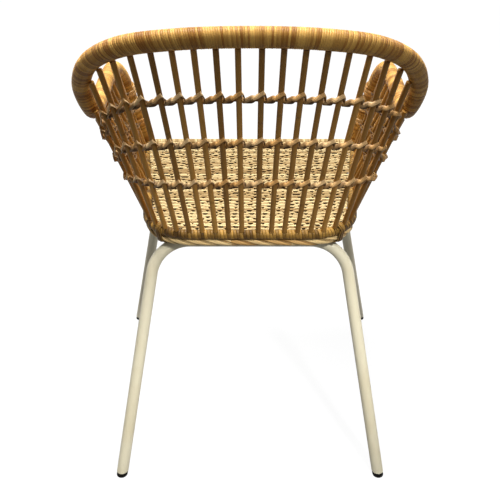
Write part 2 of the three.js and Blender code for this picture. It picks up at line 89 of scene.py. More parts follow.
def background_rays(tree):
    """1 for rays to the background, also in a mirror or through glass; 0 for those that light things."""
    rays = add(tree, "ShaderNodeLightPath")
    seen = rays["Is Camera Ray"]
    for kind in ("Is Glossy Ray", "Is Transmission Ray"):
        seen = add(tree, "ShaderNodeMath", {0: seen, 1: rays[kind]}, operation="MAXIMUM")[0]
    return seen


def in_scene(name, data):
    """A new object in the scene, at the origin."""
    made = bpy.data.objects.new(name, data)
    bpy.context.scene.collection.objects.link(made)
    return made


# %% Camera
FOCAL_PIXELS = 689.3  # fitted to the rail, the ring and the legs at once
IMAGE_PIXELS = 500
SENSOR = 36.0  # mm
camera_data = bpy.data.cameras.new("camera")
camera_data.sensor_width = SENSOR
camera_data.lens = FOCAL_PIXELS / IMAGE_PIXELS * SENSOR
camera = in_scene("camera", camera_data)
camera.location = (0, 1.117, 0.9365)
camera.rotation_euler = (math.radians(61.2), 0, math.pi)
bpy.context.scene.camera = camera
bpy.context.scene.view_settings.view_transform = "Standard"
print("lens in mm:", round(camera_data.lens, 2))

# %% Sky and lamps
SKY_LIGHT = 0.16
world = bpy.data.worlds.new("plain_sky")
sky = cleared(world)
strength = {"Value": background_rays(sky), "To Min": SKY_LIGHT, "To Max": 1.0}
strength = add(sky, "ShaderNodeMapRange", strength)["Result"]
white = add(sky, "ShaderNodeBackground", {"Color": (1, 1, 1, 1), "Strength": strength})["Background"]
add(sky, "ShaderNodeOutputWorld", {"Surface": white})
bpy.context.scene.world = world


SPOT_BLEND = 0.6  # the share of a spot lamp's cone over which it fades out


def lamp(name, place, aim, size, power, cone=None):
    """A round soft lamp, in metres and watts; with a cone, in degrees, it lights only what lies inside it."""
    data = bpy.data.lights.new(name, "SPOT" if cone else "AREA")
    data.energy = power
    if cone:
        data.spot_size = math.radians(cone)
        data.spot_blend = SPOT_BLEND
        data.shadow_soft_size = size / 2
    else:
        data.shape = "DISK"
        data.size = size
    made = in_scene(name, data)
    made.location = place
    made.rotation_mode = "QUATERNION"
    made.rotation_quaternion = (Vector(aim) - Vector(place)).to_track_quat("-Z", "Y")


lamp("overhead_lamp", (0.1, -0.25, 2.3), (0, 0, 0.5), 0.9, 72)
lamp("back_lamp", (0.3, 1.3, 2.6), (0, 0.2, 0.6), 0.5, 8)
lamp("leg_lamp", (-0.7, 1.8, 2.0), (0, 0.2, 0.19), 0.3, 220, cone=16)
lamp("side_lamp", (-2.2, -0.4, 0.5), (-0.2, -0.2, 0.2), 0.6, 50, cone=14)
print("lamps:", ", ".join(data.name for data in bpy.data.lights))

# %% Floor
FLOOR_HALF = 12.0
floor_data = bpy.data.meshes.new("floor")
corners = [(x * FLOOR_HALF, y * FLOOR_HALF, 0) for x, y in ((-1, -1), (1, -1), (1, 1), (-1, 1))]
floor_data.from_pydata(corners, [], [(0, 1, 2, 3)])
floor = in_scene("floor", floor_data)
NEAR_GLOW, FAR_GLOW = 0.94, 1.0  # the floor is a little dimmer near the chair, so that it keeps the shadow
NEAR, FAR = 0.7, 1.6  # metres from the chair's middle
pale = bpy.data.materials.new("pale studio floor")
studio = cleared(pale)
matt = add(studio, "ShaderNodeBsdfDiffuse", {"Color": linear("#5e5e5e")})["BSDF"]
place = add(studio, "ShaderNodeTexCoord")["Object"]
away = add(studio, "ShaderNodeVectorMath", {0: place}, operation="LENGTH")["Value"]
glow = {"Value": away, "From Min": NEAR, "From Max": FAR, "To Min": NEAR_GLOW, "To Max": FAR_GLOW}
glow = add(studio, "ShaderNodeMapRange", glow, interpolation_type="SMOOTHSTEP")["Result"]
glow = {0: background_rays(studio), 1: glow}
glow = add(studio, "ShaderNodeMath", glow, operation="MULTIPLY")[0]
glow = add(studio, "ShaderNodeEmission", {"Color": (1, 1, 1, 1), "Strength": glow})["Emission"]
both = add(studio, "ShaderNodeAddShader", {0: matt, 1: glow})["Shader"]
add(studio, "ShaderNodeOutputMaterial", {"Surface": both})
floor_data.materials.append(pale)
print("floor:", 2 * FLOOR_HALF, "m across")

# %% [markdown]
# ## Finishes
#
# Rattan is a climbing palm. Its peel is split into flat, satin strips for winding; its core, once peeled,
# is round and dull. Both have long fibres, and a whole cane keeps the rings of its old leaf joints. Heat
# and varnish turn some strips honey and others brown, so each turn gets its own shade, and streaks run
# along the strip and never across it. The geometry writes down how far along its strip each point lies
# ("along") and which strip it is ("strip"), and the material reads these, so the grain follows every
# bend.

# %% Cane finishes
# Fibres: about 25 mm long, nine round the strip, and shifted from strip to strip
FIBRES_A_METRE, FIBRES_ROUND, FIBRE_SHIFT = 40, 9, 3.7
FIBRE_DEPTH, FIBRE_BUMP = 0.3, 0.35  # mm, and how much of it the shading shows
LENGTH_SHARE, STRIP_SHARE, FIBRE_SHARE, PATCH_SHARE = 0.2, 0.35, 0.2, 0.25  # parts of the tone; together 1
TONE_LOW, TONE_HIGH = 0.32, 0.68  # most of the mixed noises' values; they are spread from brown to honey
STAIN_FROM, STAIN_FULL, STAIN_MOST = 0.6, 0.76, 0.55  # fibres from the first value on are stained dark
SECTION_TURN, EDGE_SHADE_SPAN = 0.125, 0.2  # of half the way round: where a section starts, and how far the painted shade at a strip's edges reaches
SMOOTHER, ROUGHER = 0.08, 0.12  # how far the roughness goes down and up from fibre to fibre
CANE_SHEEN = 0.15  # old cane gleams only faintly


def finish(tree, skin, rough, shine, relief):
    """Ends a material's tree: its colour, roughness, shine and relief make the surface."""
    surface = {"Base Color": skin, "Roughness": rough, "IOR": 1.5, "Normal": relief}
    surface = add(tree, "ShaderNodeBsdfPrincipled", {**surface, "Specular IOR Level": shine})["BSDF"]
    add(tree, "ShaderNodeOutputMaterial", {"Surface": surface})


def cane(name, pale_colour, mid_colour, dark_colour, roughness, strips_in_length=1, patch_size=90, edge=0.5):
    """Rattan: a shade for each length and each strip, fibres along it, slow patches of varnish, and painted
    shade along its edges, as dark as edge says.
    """
    made = bpy.data.materials.new(name)
    tree = cleared(made)
    strip, along, across, joint = (
        add(tree, "ShaderNodeAttribute", attribute_name=written)["Fac"]
        for written in ("strip", "along", "across", "joint")
    )
    one_strip = add(tree, "ShaderNodeMath", {0: strip}, operation="FLOOR")[0]
    one_length = add(tree, "ShaderNodeMath", {0: one_strip, 1: strips_in_length}, operation="DIVIDE")[0]
    one_length = add(tree, "ShaderNodeMath", {0: one_length}, operation="FLOOR")[0]
    strip_shade = add(tree, "ShaderNodeTexWhiteNoise", {"W": one_strip}, noise_dimensions="1D")["Value"]
    length_shade = add(tree, "ShaderNodeTexWhiteNoise", {"W": one_length}, noise_dimensions="1D")["Value"]
    grain_place = add(tree, "ShaderNodeCombineXYZ", {"X": along, "Y": across, "Z": one_strip})["Vector"]
    grain_place = {0: grain_place, 1: (FIBRES_A_METRE, FIBRES_ROUND, FIBRE_SHIFT)}
    grain_place = add(tree, "ShaderNodeVectorMath", grain_place, operation="MULTIPLY")["Vector"]
    fibres = add(tree, "ShaderNodeTexNoise", {"Vector": grain_place, "Scale": 1.0, "Detail": 3.0})["Fac"]
    place = add(tree, "ShaderNodeTexCoord")["Object"]
    patches = {"Vector": place, "Scale": 1 / (patch_size * mm), "Detail": 2.0}
    patches = add(tree, "ShaderNodeTexNoise", patches)["Fac"]
    # Tone from 0, brown, to 1, honey
    tone = 0.0
    for part, weight in (
        (length_shade, LENGTH_SHARE),
        (strip_shade, STRIP_SHARE),
        (fibres, FIBRE_SHARE),
        (patches, PATCH_SHARE),
    ):
        tone = add(tree, "ShaderNodeMath", {0: part, 1: weight, 2: tone}, operation="MULTIPLY_ADD")[0]
    tone = {"Value": tone, "From Min": TONE_LOW, "From Max": TONE_HIGH}
    tone = add(tree, "ShaderNodeMapRange", tone)["Result"]
    skin = {0: tone, 6: linear(mid_colour), 7: linear(pale_colour)}
    skin = add(tree, "ShaderNodeMix", skin, data_type="RGBA")[2]
    dark = {"Value": fibres, "From Min": STAIN_FROM, "From Max": STAIN_FULL, "To Max": STAIN_MOST}
    dark = add(tree, "ShaderNodeMapRange", dark)["Result"]
    # The "joint" note darkens the stakes' leaf-joint scars, and on the twined rows it carries painted shade
    dark = add(tree, "ShaderNodeMath", {0: dark, 1: joint}, operation="MAXIMUM")[0]
    # Painted shade along a strip's two edges, a quarter and three quarters round its section, where the gaps
    # between strips lie
    edge_shade = add(tree, "ShaderNodeMath", {0: across, 1: 2.0, 2: SECTION_TURN}, operation="MULTIPLY_ADD")[0]
    for operation in ("FRACT", "SUBTRACT", "ABSOLUTE"):
        edge_shade = add(tree, "ShaderNodeMath", {0: edge_shade, 1: 0.5}, operation=operation)[0]
    edge_shade = {"Value": edge_shade, "From Max": EDGE_SHADE_SPAN, "To Min": edge, "To Max": 0.0}
    edge_shade = add(tree, "ShaderNodeMapRange", edge_shade)["Result"]
    dark = add(tree, "ShaderNodeMath", {0: dark, 1: edge_shade}, operation="MAXIMUM")[0]
    skin = add(tree, "ShaderNodeMix", {0: dark, 6: skin, 7: linear(dark_colour)}, data_type="RGBA")[2]
    relief = {"Height": fibres, "Strength": FIBRE_BUMP, "Distance": FIBRE_DEPTH * mm}
    relief = add(tree, "ShaderNodeBump", relief)["Normal"]
    rough = {"Value": fibres, "To Min": roughness - SMOOTHER, "To Max": roughness + ROUGHER}
    rough = add(tree, "ShaderNodeMapRange", rough)["Result"]
    finish(tree, skin, rough, CANE_SHEEN, relief)
    return made


# %% The chair's canes
# What faces the camera gets little light, so stakes, rows and border are written lighter than they render

# Wound peel: split, flat and varnished, with a faint sheen; a length of it makes about six turns
wound_peel = cane("wound rattan peel", "#e8b55f", "#9f6c2c", "#38200a", 0.4, 6, edge=0.85)
# Ring winding: the same peel in wider strips
ring_peel = cane("wound ring peel", "#b1873f", "#5a3f17", "#271607", 0.45, 3, edge=1.0)
# Round rattan: whole canes in their own skin, brown from heat, satin
round_cane = cane("round rattan cane", "#bd8b44", "#90672e", "#493015", 0.46, 1, 120, edge=0.0)
# Twining cane: split cane, written pale; in the twined rows painted shade darkens it behind the stakes and
# across the gaps
twining_cane = cane("split twining cane", "#f2cc94", "#d5a260", "#3a200b", 0.45, edge=0.6)
# Border cane: the same split cane, written paler still as painted light, for the light that the ring above
# keeps off it
border_cane = cane("split border cane", "#f9d898", "#d6a55f", "#44290f", 0.45, edge=0.8)
# Woven seat peel: the palest, unvarnished straw, matt
seat_peel = cane("woven seat peel", "#e0c994", "#9c7e4e", "#402810", 0.6, 1, 60, edge=0.95)
# The seat's warps: the same straw, written dark as painted shade, for the shadowed dashes where the wefts
# dive
warp_in_painted_shade = cane("woven seat warp in painted shade", "#4c361b", "#352410", "#24170a", 0.6, 1, 60, edge=0.5)
# Peeled pole: the core under the winding and the seat, matt
peeled_pole = cane("peeled rattan pole", "#cfa86c", "#b5894c", "#7a5629", 0.62, edge=0.0)
print("the peel on rail and ring:", wound_peel.name, "and", ring_peel.name)

# %% [markdown]
# ## Paint and plastic
#
# The tubes are powder coated: a baked plastic skin, satin, with a very fine orange peel. The glides are
# moulded polypropylene, black and slightly scuffed.

# %% Powder coat and polypropylene
WEAR_PATCH = 60.0  # mm from one worn patch to the next
WORN_FROM, WORN_FULL = 0.45, 0.75  # the values of the noise between which wear sets in
POLISHED, SCUFFED = 0.06, 0.1  # how far the roughness goes down and up with wear
GRAIN_BUMP = 0.25  # how much of the grain's depth the shading shows


def moulded(name, colour, worn_colour, roughness, shine, grain_size, grain_depth):
    """A satin skin with fine relief and faint wear, for paint and for plastic; sizes in mm."""
    made = bpy.data.materials.new(name)
    tree = cleared(made)
    place = add(tree, "ShaderNodeTexCoord")["Object"]
    grain = {"Vector": place, "Scale": 1 / (grain_size * mm), "Detail": 2.0}
    grain = add(tree, "ShaderNodeTexNoise", grain)["Fac"]
    wear = {"Vector": place, "Scale": 1 / (WEAR_PATCH * mm), "Detail": 5.0}
    wear = add(tree, "ShaderNodeTexNoise", wear)["Fac"]
    worn = {"Value": wear, "From Min": WORN_FROM, "From Max": WORN_FULL}
    worn = add(tree, "ShaderNodeMapRange", worn)["Result"]
    skin = {0: worn, 6: linear(colour), 7: linear(worn_colour)}
    skin = add(tree, "ShaderNodeMix", skin, data_type="RGBA")[2]
    rough = {"Value": wear, "To Min": roughness - POLISHED, "To Max": roughness + SCUFFED}
    rough = add(tree, "ShaderNodeMapRange", rough)["Result"]
    relief = {"Height": grain, "Strength": GRAIN_BUMP, "Distance": grain_depth * mm}
    relief = add(tree, "ShaderNodeBump", relief)["Normal"]
    finish(tree, skin, rough, shine, relief)
    return made


powder_coat = moulded("cream powder coat", "#f1e8c9", "#e8dcb9", 0.38, 0.5, 1.2, 0.05)
polypropylene = moulded("black polypropylene", "#080604", "#100d0b", 0.65, 0.1, 0.8, 0.08)
print("paint and plastic:", powder_coat.name, "and", polypropylene.name)

# %% [markdown]
# ## The routes that the canes follow
#
# The bent poles are the skeleton: everything is wound round them or stands on them. Their routes repeat
# the CAD's own points. A smooth curve through a few points is easier to judge than many points, so the
# rail is given by its bends, and the ring by its corners and their radii.

# %% Smooth runs and rounded corners
def smooth_run(points, step):
    """Points every `step` along a smooth curve that runs through all the given points without looping."""
    points = np.array(points, float)
    points = np.vstack([2 * points[0] - points[1], points, 2 * points[-1] - points[-2]])
    run = []
    for before, here, ahead, beyond in zip(points, points[1:], points[2:], points[3:]):
        gaps = [np.linalg.norm(b - a) ** 0.5 for a, b in ((before, here), (here, ahead), (ahead, beyond))]
        start = (here - before) / gaps[0] - (ahead - before) / (gaps[0] + gaps[1]) + (ahead - here) / gaps[1]
        end = (ahead - here) / gaps[1] - (beyond - here) / (gaps[1] + gaps[2]) + (beyond - ahead) / gaps[2]
        start, end = start * gaps[1], end * gaps[1]
        for t in np.linspace(0, 1, max(int(np.linalg.norm(ahead - here) / step), 2), endpoint=False):
            # Weights of each end's place and of the speed there
            a, b = 2 * t**3 - 3 * t**2 + 1, t**3 - 2 * t**2 + t
            c, d = -2 * t**3 + 3 * t**2, t**3 - t**2
            run.append(a * here + b * start + c * ahead + d * end)
    return np.array(run + [points[-2]])


def rounded(corners, turn_step=math.radians(5)):
    """A run through the corners, each given as (point, radius); the first and the last corner stay sharp."""
    run = [np.array(corners[0][0], float)]
    for (before, _), (at, radius), (after, _) in zip(corners, corners[1:], corners[2:]):
        before, at, after = (np.array(p, float) for p in (before, at, after))
        back = (before - at) / np.linalg.norm(before - at)
        ahead = (after - at) / np.linalg.norm(after - at)
        half = math.acos(np.clip(back @ ahead, -1, 1)) / 2
        middle = (back + ahead) / np.linalg.norm(back + ahead)
        centre = at + middle * radius / math.sin(half)
        start = at + back * radius / math.tan(half) - centre
        end = at + ahead * radius / math.tan(half) - centre
        turn = math.pi - 2 * half
        for t in np.linspace(0, 1, max(int(turn / turn_step), 1) + 1):
            arm = (math.sin((1 - t) * turn) * start + math.sin(t * turn) * end) / math.sin(turn)
            run.append(centre + arm)
    return np.array(run + [np.array(corners[-1][0], float)])


def both_sides(half):
    """A half run from the middle of the back, and its mirror image, as one run from the right to the left."""
    return np.vstack([half[:0:-1] * [-1, 1, 1], half])


# %% Ring and rail
RING_RADIUS, BORDER_RADIUS, RAIL_RADIUS = 8.0, 6.0, 13.7
RING_REAR_Y, RING_FRONT_Y, RING_REAR_Z = 137.0, -262.5, 426.0
RING_REAR_HALF, RING_CORNER = 164.0, 80.0
RING_SIDE_HALF, RING_SIDE_Y, RING_SIDE_ROUNDING = 184.0, -20.0, 300.0
RING_FRONT_HALF, RING_FRONT_CORNER = 219.0, 25.0
BORDER_INSET = 2.0
SEAT_RISE = 10.0  # mm that the seat's front is higher than its back
SEAT_SLOPE = SEAT_RISE / (RING_FRONT_Y - RING_REAR_Y)
CLEARANCE = 0.3


def ring_z(y):
    """Height of the ring's middle line, which slopes up towards the front."""
    return RING_REAR_Z + (y - RING_REAR_Y) * SEAT_SLOPE


def ring_half(inset=0.0, drop=0.0):
    """The ring's left half, from the middle of the back to the front, moved in and down."""
    corners = [
        ((0, RING_REAR_Y - inset, 0), 0),
        ((RING_REAR_HALF - inset, RING_REAR_Y - inset, 0), RING_CORNER - inset),
        ((RING_SIDE_HALF - inset, RING_SIDE_Y, 0), RING_SIDE_ROUNDING - inset),
        ((RING_FRONT_HALF - inset, RING_FRONT_Y + inset, 0), RING_FRONT_CORNER - inset),
        ((CLEARANCE / 2, RING_FRONT_Y + inset, 0), 0),
    ]
    run = rounded(corners)
    run[:, 2] = ring_z(run[:, 1]) - drop
    return run


BORDER_DROP = RING_RADIUS + CLEARANCE + BORDER_RADIUS
ring_route = both_sides(ring_half())
border_route = both_sides(ring_half(BORDER_INSET, BORDER_DROP))
# The rail's bends, from the middle of the back over the arm down to the ring
rail_bends = [
    (0, 255.9, 759),
    (92.1, 255.9, 756.2),
    (164.3, 240.4, 743.8),
    (211.7, 207.2, 716.2),
    (234.1, 167.7, 674.8),
    (232.1, 131.5, 632),
    (238.5, 64.2, 616.9),
    (247.3, -61.6, 621),
    (249, -146, 621),
    (244.9, -195.1, 594.5),
    (232.6, -231.2, 525.5),
    (211.7, -255.2, 444.1),
]
rail_route = smooth_run(both_sides(np.array(rail_bends, float)), step=4)
print("rail runs", round(float(np.linalg.norm(np.diff(rail_route, axis=0), axis=1).sum())), "mm")

# %% [markdown]
# ## Making a piece with Geometry Nodes
#
# Each piece starts as bare lines: the route of a pole, or the places of the stakes. A node tree turns the
# lines into cane, and the result is kept as a plain mesh. Four helpers do this: one makes the lines, one
# makes an empty tree with named sizes, one runs a tree on lines, and one keeps a mesh as a piece.

# %% Lines in, plain mesh out
def lines(runs, **notes):
    """A mesh of loose lines, in metres. Each note is one number or vector for every point of every run."""
    points = np.vstack(runs) * mm
    edges, first = [], 0
    for run in runs:
        edges += [(first + i, first + i + 1) for i in range(len(run) - 1)]
        first += len(run)
    data = bpy.data.meshes.new("lines")
    data.from_pydata(points.tolist(), edges, [])
    for name, values in notes.items():
        values = np.array(values, float)
        kind = "FLOAT_VECTOR" if values.ndim > 1 else "FLOAT"
        note = data.attributes.new(name, kind, "POINT")
        note.data.foreach_set("vector" if values.ndim > 1 else "value", values.ravel())
    return in_scene("lines", data)


def new_tree(name, **sizes):
    """An empty node tree with a geometry input and output, and one named input for each size."""
    tree = bpy.data.node_groups.new(name, "GeometryNodeTree")
    tree.interface.new_socket(name="Geometry", in_out="INPUT", socket_type="NodeSocketGeometry")
    tree.interface.new_socket(name="Geometry", in_out="OUTPUT", socket_type="NodeSocketGeometry")
    for size, kind in sizes.items():
        tree.interface.new_socket(name=size, in_out="INPUT", socket_type="NodeSocket" + kind)
    return tree, add(tree, "NodeGroupInput")


def grow(name, tree, start, nodes=(), slot=None, **sizes):
    """Runs a tree on lines, keeps the result as a piece on the chair, and clears the lines away."""
    modifier = start.modifiers.new(name, "NODES")
    modifier.node_group = tree
    for socket in tree.interface.items_tree:
        if socket.in_out == "INPUT" and socket.name in sizes:
            modifier[socket.identifier] = sizes[socket.name]
    start.update_tag()
    bpy.context.view_layer.update()
    evaluated = start.evaluated_get(bpy.context.evaluated_depsgraph_get())
    data = bpy.data.meshes.new_from_object(evaluated)
    bpy.data.objects.remove(start)
    return keep(name, data, nodes)


def keep(name, data, nodes=()):
    """Makes a mesh a piece that rides on the chair, in place of CAD nodes."""
    data.name = name
    piece = in_scene(name, data)
    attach(piece, "root")
    if nodes:
        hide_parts(*nodes)
    data.calc_loop_triangles()
    print(f"{name}: {len(data.loop_triangles)} triangles")
    return piece


# %% [markdown]
# ## A flat strip swept along a line
#
# Split cane is flat with rounded edges. Its section is a flattened octagon: eight corners are enough once
# the shading is smooth. The section's thin side follows the line's normal, so every tree below only has
# to say where the cane runs and which way its face looks. Round cane is the same strip with equal sides.

# %% Group: sweep a strip along curves
strip_sweep, given = new_tree("strip swept along curves", Width="Float", Thickness="Float", Sides="Int")
half_corner = add(strip_sweep, "ShaderNodeMath", {0: math.pi, 1: given["Sides"]}, operation="DIVIDE")[0]
flats = add(strip_sweep, "ShaderNodeMath", {0: half_corner}, operation="COSINE")[0]
full = add(strip_sweep, "ShaderNodeCombineXYZ", {"X": given["Thickness"], "Y": given["Width"]})["Vector"]
flats = add(strip_sweep, "ShaderNodeCombineXYZ", {"X": flats, "Y": flats, "Z": 1.0})["Vector"]
full = add(strip_sweep, "ShaderNodeVectorMath", {0: full, 1: flats}, operation="DIVIDE")["Vector"]
turned = add(strip_sweep, "ShaderNodeCombineXYZ", {"Z": half_corner})["Vector"]
section = {"Resolution": given["Sides"], "Radius": 0.5}
section = add(strip_sweep, "GeometryNodeCurvePrimitiveCircle", section)["Curve"]
section = add(strip_sweep, "GeometryNodeTransform", {"Geometry": section, "Rotation": turned})["Geometry"]
section = add(strip_sweep, "GeometryNodeTransform", {"Geometry": section, "Scale": full})["Geometry"]
around = add(strip_sweep, "GeometryNodeSplineParameter")["Factor"]
section = {"Geometry": section, "Name": "across", "Value": around}
section = add(strip_sweep, "GeometryNodeStoreNamedAttribute", section, domain="POINT")["Geometry"]
swept = {"Curve": given["Geometry"], "Profile Curve": section, "Fill Caps": True}
swept = add(strip_sweep, "GeometryNodeCurveToMesh", swept)["Mesh"]
# A strip that climbs without turning its section, as in twining, has its climb noted as "lift"
lift = {"Name": "lift"}
lift = add(strip_sweep, "GeometryNodeInputNamedAttribute", lift, data_type="FLOAT_VECTOR")["Attribute"]
swept = add(strip_sweep, "GeometryNodeSetPosition", {"Geometry": swept, "Offset": lift})["Geometry"]
swept = add(strip_sweep, "GeometryNodeSetShadeSmooth", {"Geometry": swept})["Geometry"]
add(strip_sweep, "NodeGroupOutput", {"Geometry": swept})
print(f"{strip_sweep.name}: {len(strip_sweep.nodes)} nodes")


def note(tree, geometry, kind="FLOAT", **values):
    """Writes values on the points of a geometry, for later nodes or for the material."""
    for name, value in values.items():
        links = {"Geometry": geometry, "Name": name, "Value": value}
        stored = add(tree, "GeometryNodeStoreNamedAttribute", links, domain="POINT", data_type=kind)
        geometry = stored["Geometry"]
    return geometry


def finish_tree(tree, given, curves):
    """Sweeps the curves into strips, makes them real, gives them their material and hands them out."""
    sizes = {name: given[name] for name in ("Width", "Thickness", "Sides")}
    swept = add(tree, "GeometryNodeGroup", {"Geometry": curves, **sizes}, node_tree=strip_sweep)["Geometry"]
    real = add(tree, "GeometryNodeRealizeInstances", {"Geometry": swept})["Geometry"]
    painted = {"Geometry": real, "Material": given["Material"]}
    painted = add(tree, "GeometryNodeSetMaterial", painted)["Geometry"]
    add(tree, "NodeGroupOutput", {"Geometry": painted})
    print(f"{tree.name}: {len(tree.nodes)} nodes")


STRIP = {"Width": "Float", "Thickness": "Float", "Sides": "Int", "Material": "Material"}


CANE_SIDES = 8  # corners of a split cane's section


def strip_of(width, thickness, sides, material):
    """Values for a tree's STRIP inputs, from a width and a thickness in mm."""
    return {"Width": width * mm, "Thickness": thickness * mm, "Sides": sides, "Material": material}


# %% [markdown]
# ## Wound cane
#
# Rail and ring are wrapped from end to end with split cane, turn against turn. A texture could fake this,
# but the outline would stay smooth, and the real one is finely ridged. So the tree lays one long line
# round the route like a thread round a spool, turns its flat side to the pole, and sweeps the strip along
# it. The same tree with three lines and a long pitch twists the border's thick canes like a rope.

# %% Tree: cane wound round a route
winding, given = new_tree(
    "cane wound round a route",
    Pitch="Float",
    Pole="Float",
    Unevenness="Float",
    Steps="Int",
    Strands="Int",
    **STRIP,
)
route = add(winding, "GeometryNodeMeshToCurve", {"Mesh": given["Geometry"]})["Curve"]
length = add(winding, "GeometryNodeCurveLength", {"Curve": route})["Length"]
turns = add(winding, "ShaderNodeMath", {0: length, 1: given["Pitch"]}, operation="DIVIDE")[0]
count = add(winding, "ShaderNodeMath", {0: turns, 1: given["Steps"]}, operation="MULTIPLY")[0]
route = add(winding, "GeometryNodeResampleCurve", {"Curve": route, "Count": count}, mode="COUNT")["Curve"]
strands = {"Geometry": route, "Amount": given["Strands"]}
strands = add(winding, "GeometryNodeDuplicateElements", strands, domain="SPLINE")
index = add(winding, "GeometryNodeSplineParameter")["Index"]
turn = add(winding, "ShaderNodeMath", {0: index, 1: given["Steps"]}, operation="DIVIDE")[0]
share = {0: strands["Duplicate Index"], 1: given["Strands"]}
share = add(winding, "ShaderNodeMath", share, operation="DIVIDE")[0]
own_turn = add(winding, "ShaderNodeMath", {0: turn, 1: share}, operation="ADD")[0]
angle = add(winding, "ShaderNodeMath", {0: own_turn, 1: 2 * math.pi}, operation="MULTIPLY")[0]
normal = add(winding, "GeometryNodeInputNormal")["Normal"]
tangent = add(winding, "GeometryNodeInputTangent")["Tangent"]
face = {"Vector": normal, "Axis": tangent, "Angle": angle}
face = add(winding, "ShaderNodeVectorRotate", face, rotation_type="AXIS_ANGLE")["Vector"]
girth = add(winding, "ShaderNodeMath", {0: given["Pole"], 1: 2 * math.pi}, operation="MULTIPLY")[0]
along = add(winding, "ShaderNodeMath", {0: turn, 1: girth}, operation="MULTIPLY")[0]
APART = 977.0  # more than a route's turns, so that no two strands share a strip's number
strip = {0: strands["Duplicate Index"], 1: APART, 2: turn}
strip = add(winding, "ShaderNodeMath", strip, operation="MULTIPLY_ADD")[0]
curves = note(winding, strands["Geometry"], strip=strip, along=along)
curves = add(winding, "GeometryNodeSetCurveNormal", {"Curve": curves, "Normal": face}, mode="FREE")["Curve"]

# %% Winding: lay the turns round the pole
# Each turn lies a little higher or lower than the next
uneven = {"W": own_turn, "Scale": 0.9, "Detail": 1.0}
uneven = add(winding, "ShaderNodeTexNoise", uneven, noise_dimensions="1D")["Fac"]
arm = {0: uneven, 1: given["Unevenness"], 2: given["Pole"]}
arm = add(winding, "ShaderNodeMath", arm, operation="MULTIPLY_ADD")[0]
face_arm = add(winding, "ShaderNodeVectorMath", {0: normal, "Scale": arm}, operation="SCALE")["Vector"]
# Turns may lean: then the top of each is pushed along the route against its bottom
shear = add(winding, "GeometryNodeInputNamedAttribute", {"Name": "lean"}, data_type="FLOAT")["Attribute"]
height = add(winding, "ShaderNodeSeparateXYZ", {"Vector": face_arm})["Z"]
shear = add(winding, "ShaderNodeMath", {0: shear, 1: height}, operation="MULTIPLY")[0]
shear = add(winding, "ShaderNodeVectorMath", {0: tangent, "Scale": shear}, operation="SCALE")["Vector"]
arm = add(winding, "ShaderNodeVectorMath", {0: face_arm, 1: shear}, operation="ADD")["Vector"]
curves = add(winding, "GeometryNodeSetPosition", {"Geometry": curves, "Offset": arm})["Geometry"]
finish_tree(winding, given, curves)

# %% Rail winding
RAIL_CANE, RAIL_CANE_THICKNESS = 3.1, 1.5
RAIL_PITCH = 2.9  # a little less than the cane's width, so that the turns touch
RAIL_SINK = 0.15  # keeps the highest ridges inside the CAD's box
TURN_STEPS = 18  # sections to one turn of the winding
# The turns are square in the middle of the back, lean outwards beside it and are square on the arms again
RAIL_LEAN, LEAN_REACH = 0.35, 430  # the steepest lean, and mm from the middle to where it ends
from_middle = np.cumsum(np.linalg.norm(np.diff(rail_route, axis=0, prepend=rail_route[:1]), axis=1))
from_middle -= from_middle[-1] / 2
lean = RAIL_LEAN * np.sin(np.clip(from_middle / LEAN_REACH, -1, 1) * math.pi)
grow(
    "rail_winding",
    winding,
    lines([rail_route], lean=lean),
    ["rail_wrap"],
    "rattan_wrapping",
    Pitch=RAIL_PITCH * mm,
    Pole=(RAIL_RADIUS - RAIL_CANE_THICKNESS / 2 - RAIL_SINK) * mm,
    Unevenness=-0.4 * mm,
    Steps=TURN_STEPS,
    Strands=1,
    **strip_of(RAIL_CANE, RAIL_CANE_THICKNESS, CANE_SIDES, wound_peel),
)

# %% Ring winding
RING_CANE, RING_CANE_THICKNESS, RING_PITCH = 5.4, 1.5, 5.2
RING_RISE = 0.1  # makes up for the turns that lie deeper
FRONT_WINDING = 24  # mm back from the ring's front line that are wound with the seat's own pale peel
at_front = np.flatnonzero(ring_route[:, 1] < RING_FRONT_Y + FRONT_WINDING)
last_right = int(at_front[at_front < len(ring_route) // 2].max())
first_left = int(at_front[at_front > len(ring_route) // 2].min())
for name, runs, material in (
    ("ring_winding", [ring_route[last_right : first_left + 1]], ring_peel),
    ("front_ring_winding", [ring_route[: last_right + 1], ring_route[first_left:]], seat_peel),
):
    grow(
        name,
        winding,
        lines(runs),
        ["seat_ring_wrap"],
        "rattan_wrapping",
        Pitch=RING_PITCH * mm,
        Pole=(RING_RADIUS - RING_CANE_THICKNESS / 2 + RING_RISE) * mm,
        Unevenness=-0.5 * mm,
        Steps=TURN_STEPS,
        Strands=1,
        **strip_of(RING_CANE, RING_CANE_THICKNESS, CANE_SIDES, material),
    )

# %% [markdown]
# ## Border
#
# Under the ring runs a border of three split canes, twisted so slowly that each shows as a long leaf
# before it dives under the next. It is the winding tree again, with three strands.

# %% Border
BORDER_CANE, BORDER_CANE_THICKNESS, BORDER_PITCH, BORDER_POLE = 6.8, 5.0, 96.0, 3.3
grow(
    "twisted_border",
    winding,
    lines([border_route]),
    ["seat_border"],
    "rattan_cane",
    Pitch=BORDER_PITCH * mm,
    Pole=BORDER_POLE * mm,
    Unevenness=0.3 * mm,
    Steps=40,
    Strands=3,
    **strip_of(BORDER_CANE, BORDER_CANE_THICKNESS, 10, border_cane),
)

# %% [markdown]
# ## Stakes
#
# Forty round canes stand on the ring and hold up the rail. Each keeps the small swellings of its old leaf
# joints. The CAD gives each stake as a straight eight-sided bar, so its two end faces say where it
# stands; the tree sweeps a rounder bar between them and swells it at the joints.

# %% Where the stakes stand
STAKE_RADIUS = 4.0
STAKES_A_SIDE = 20


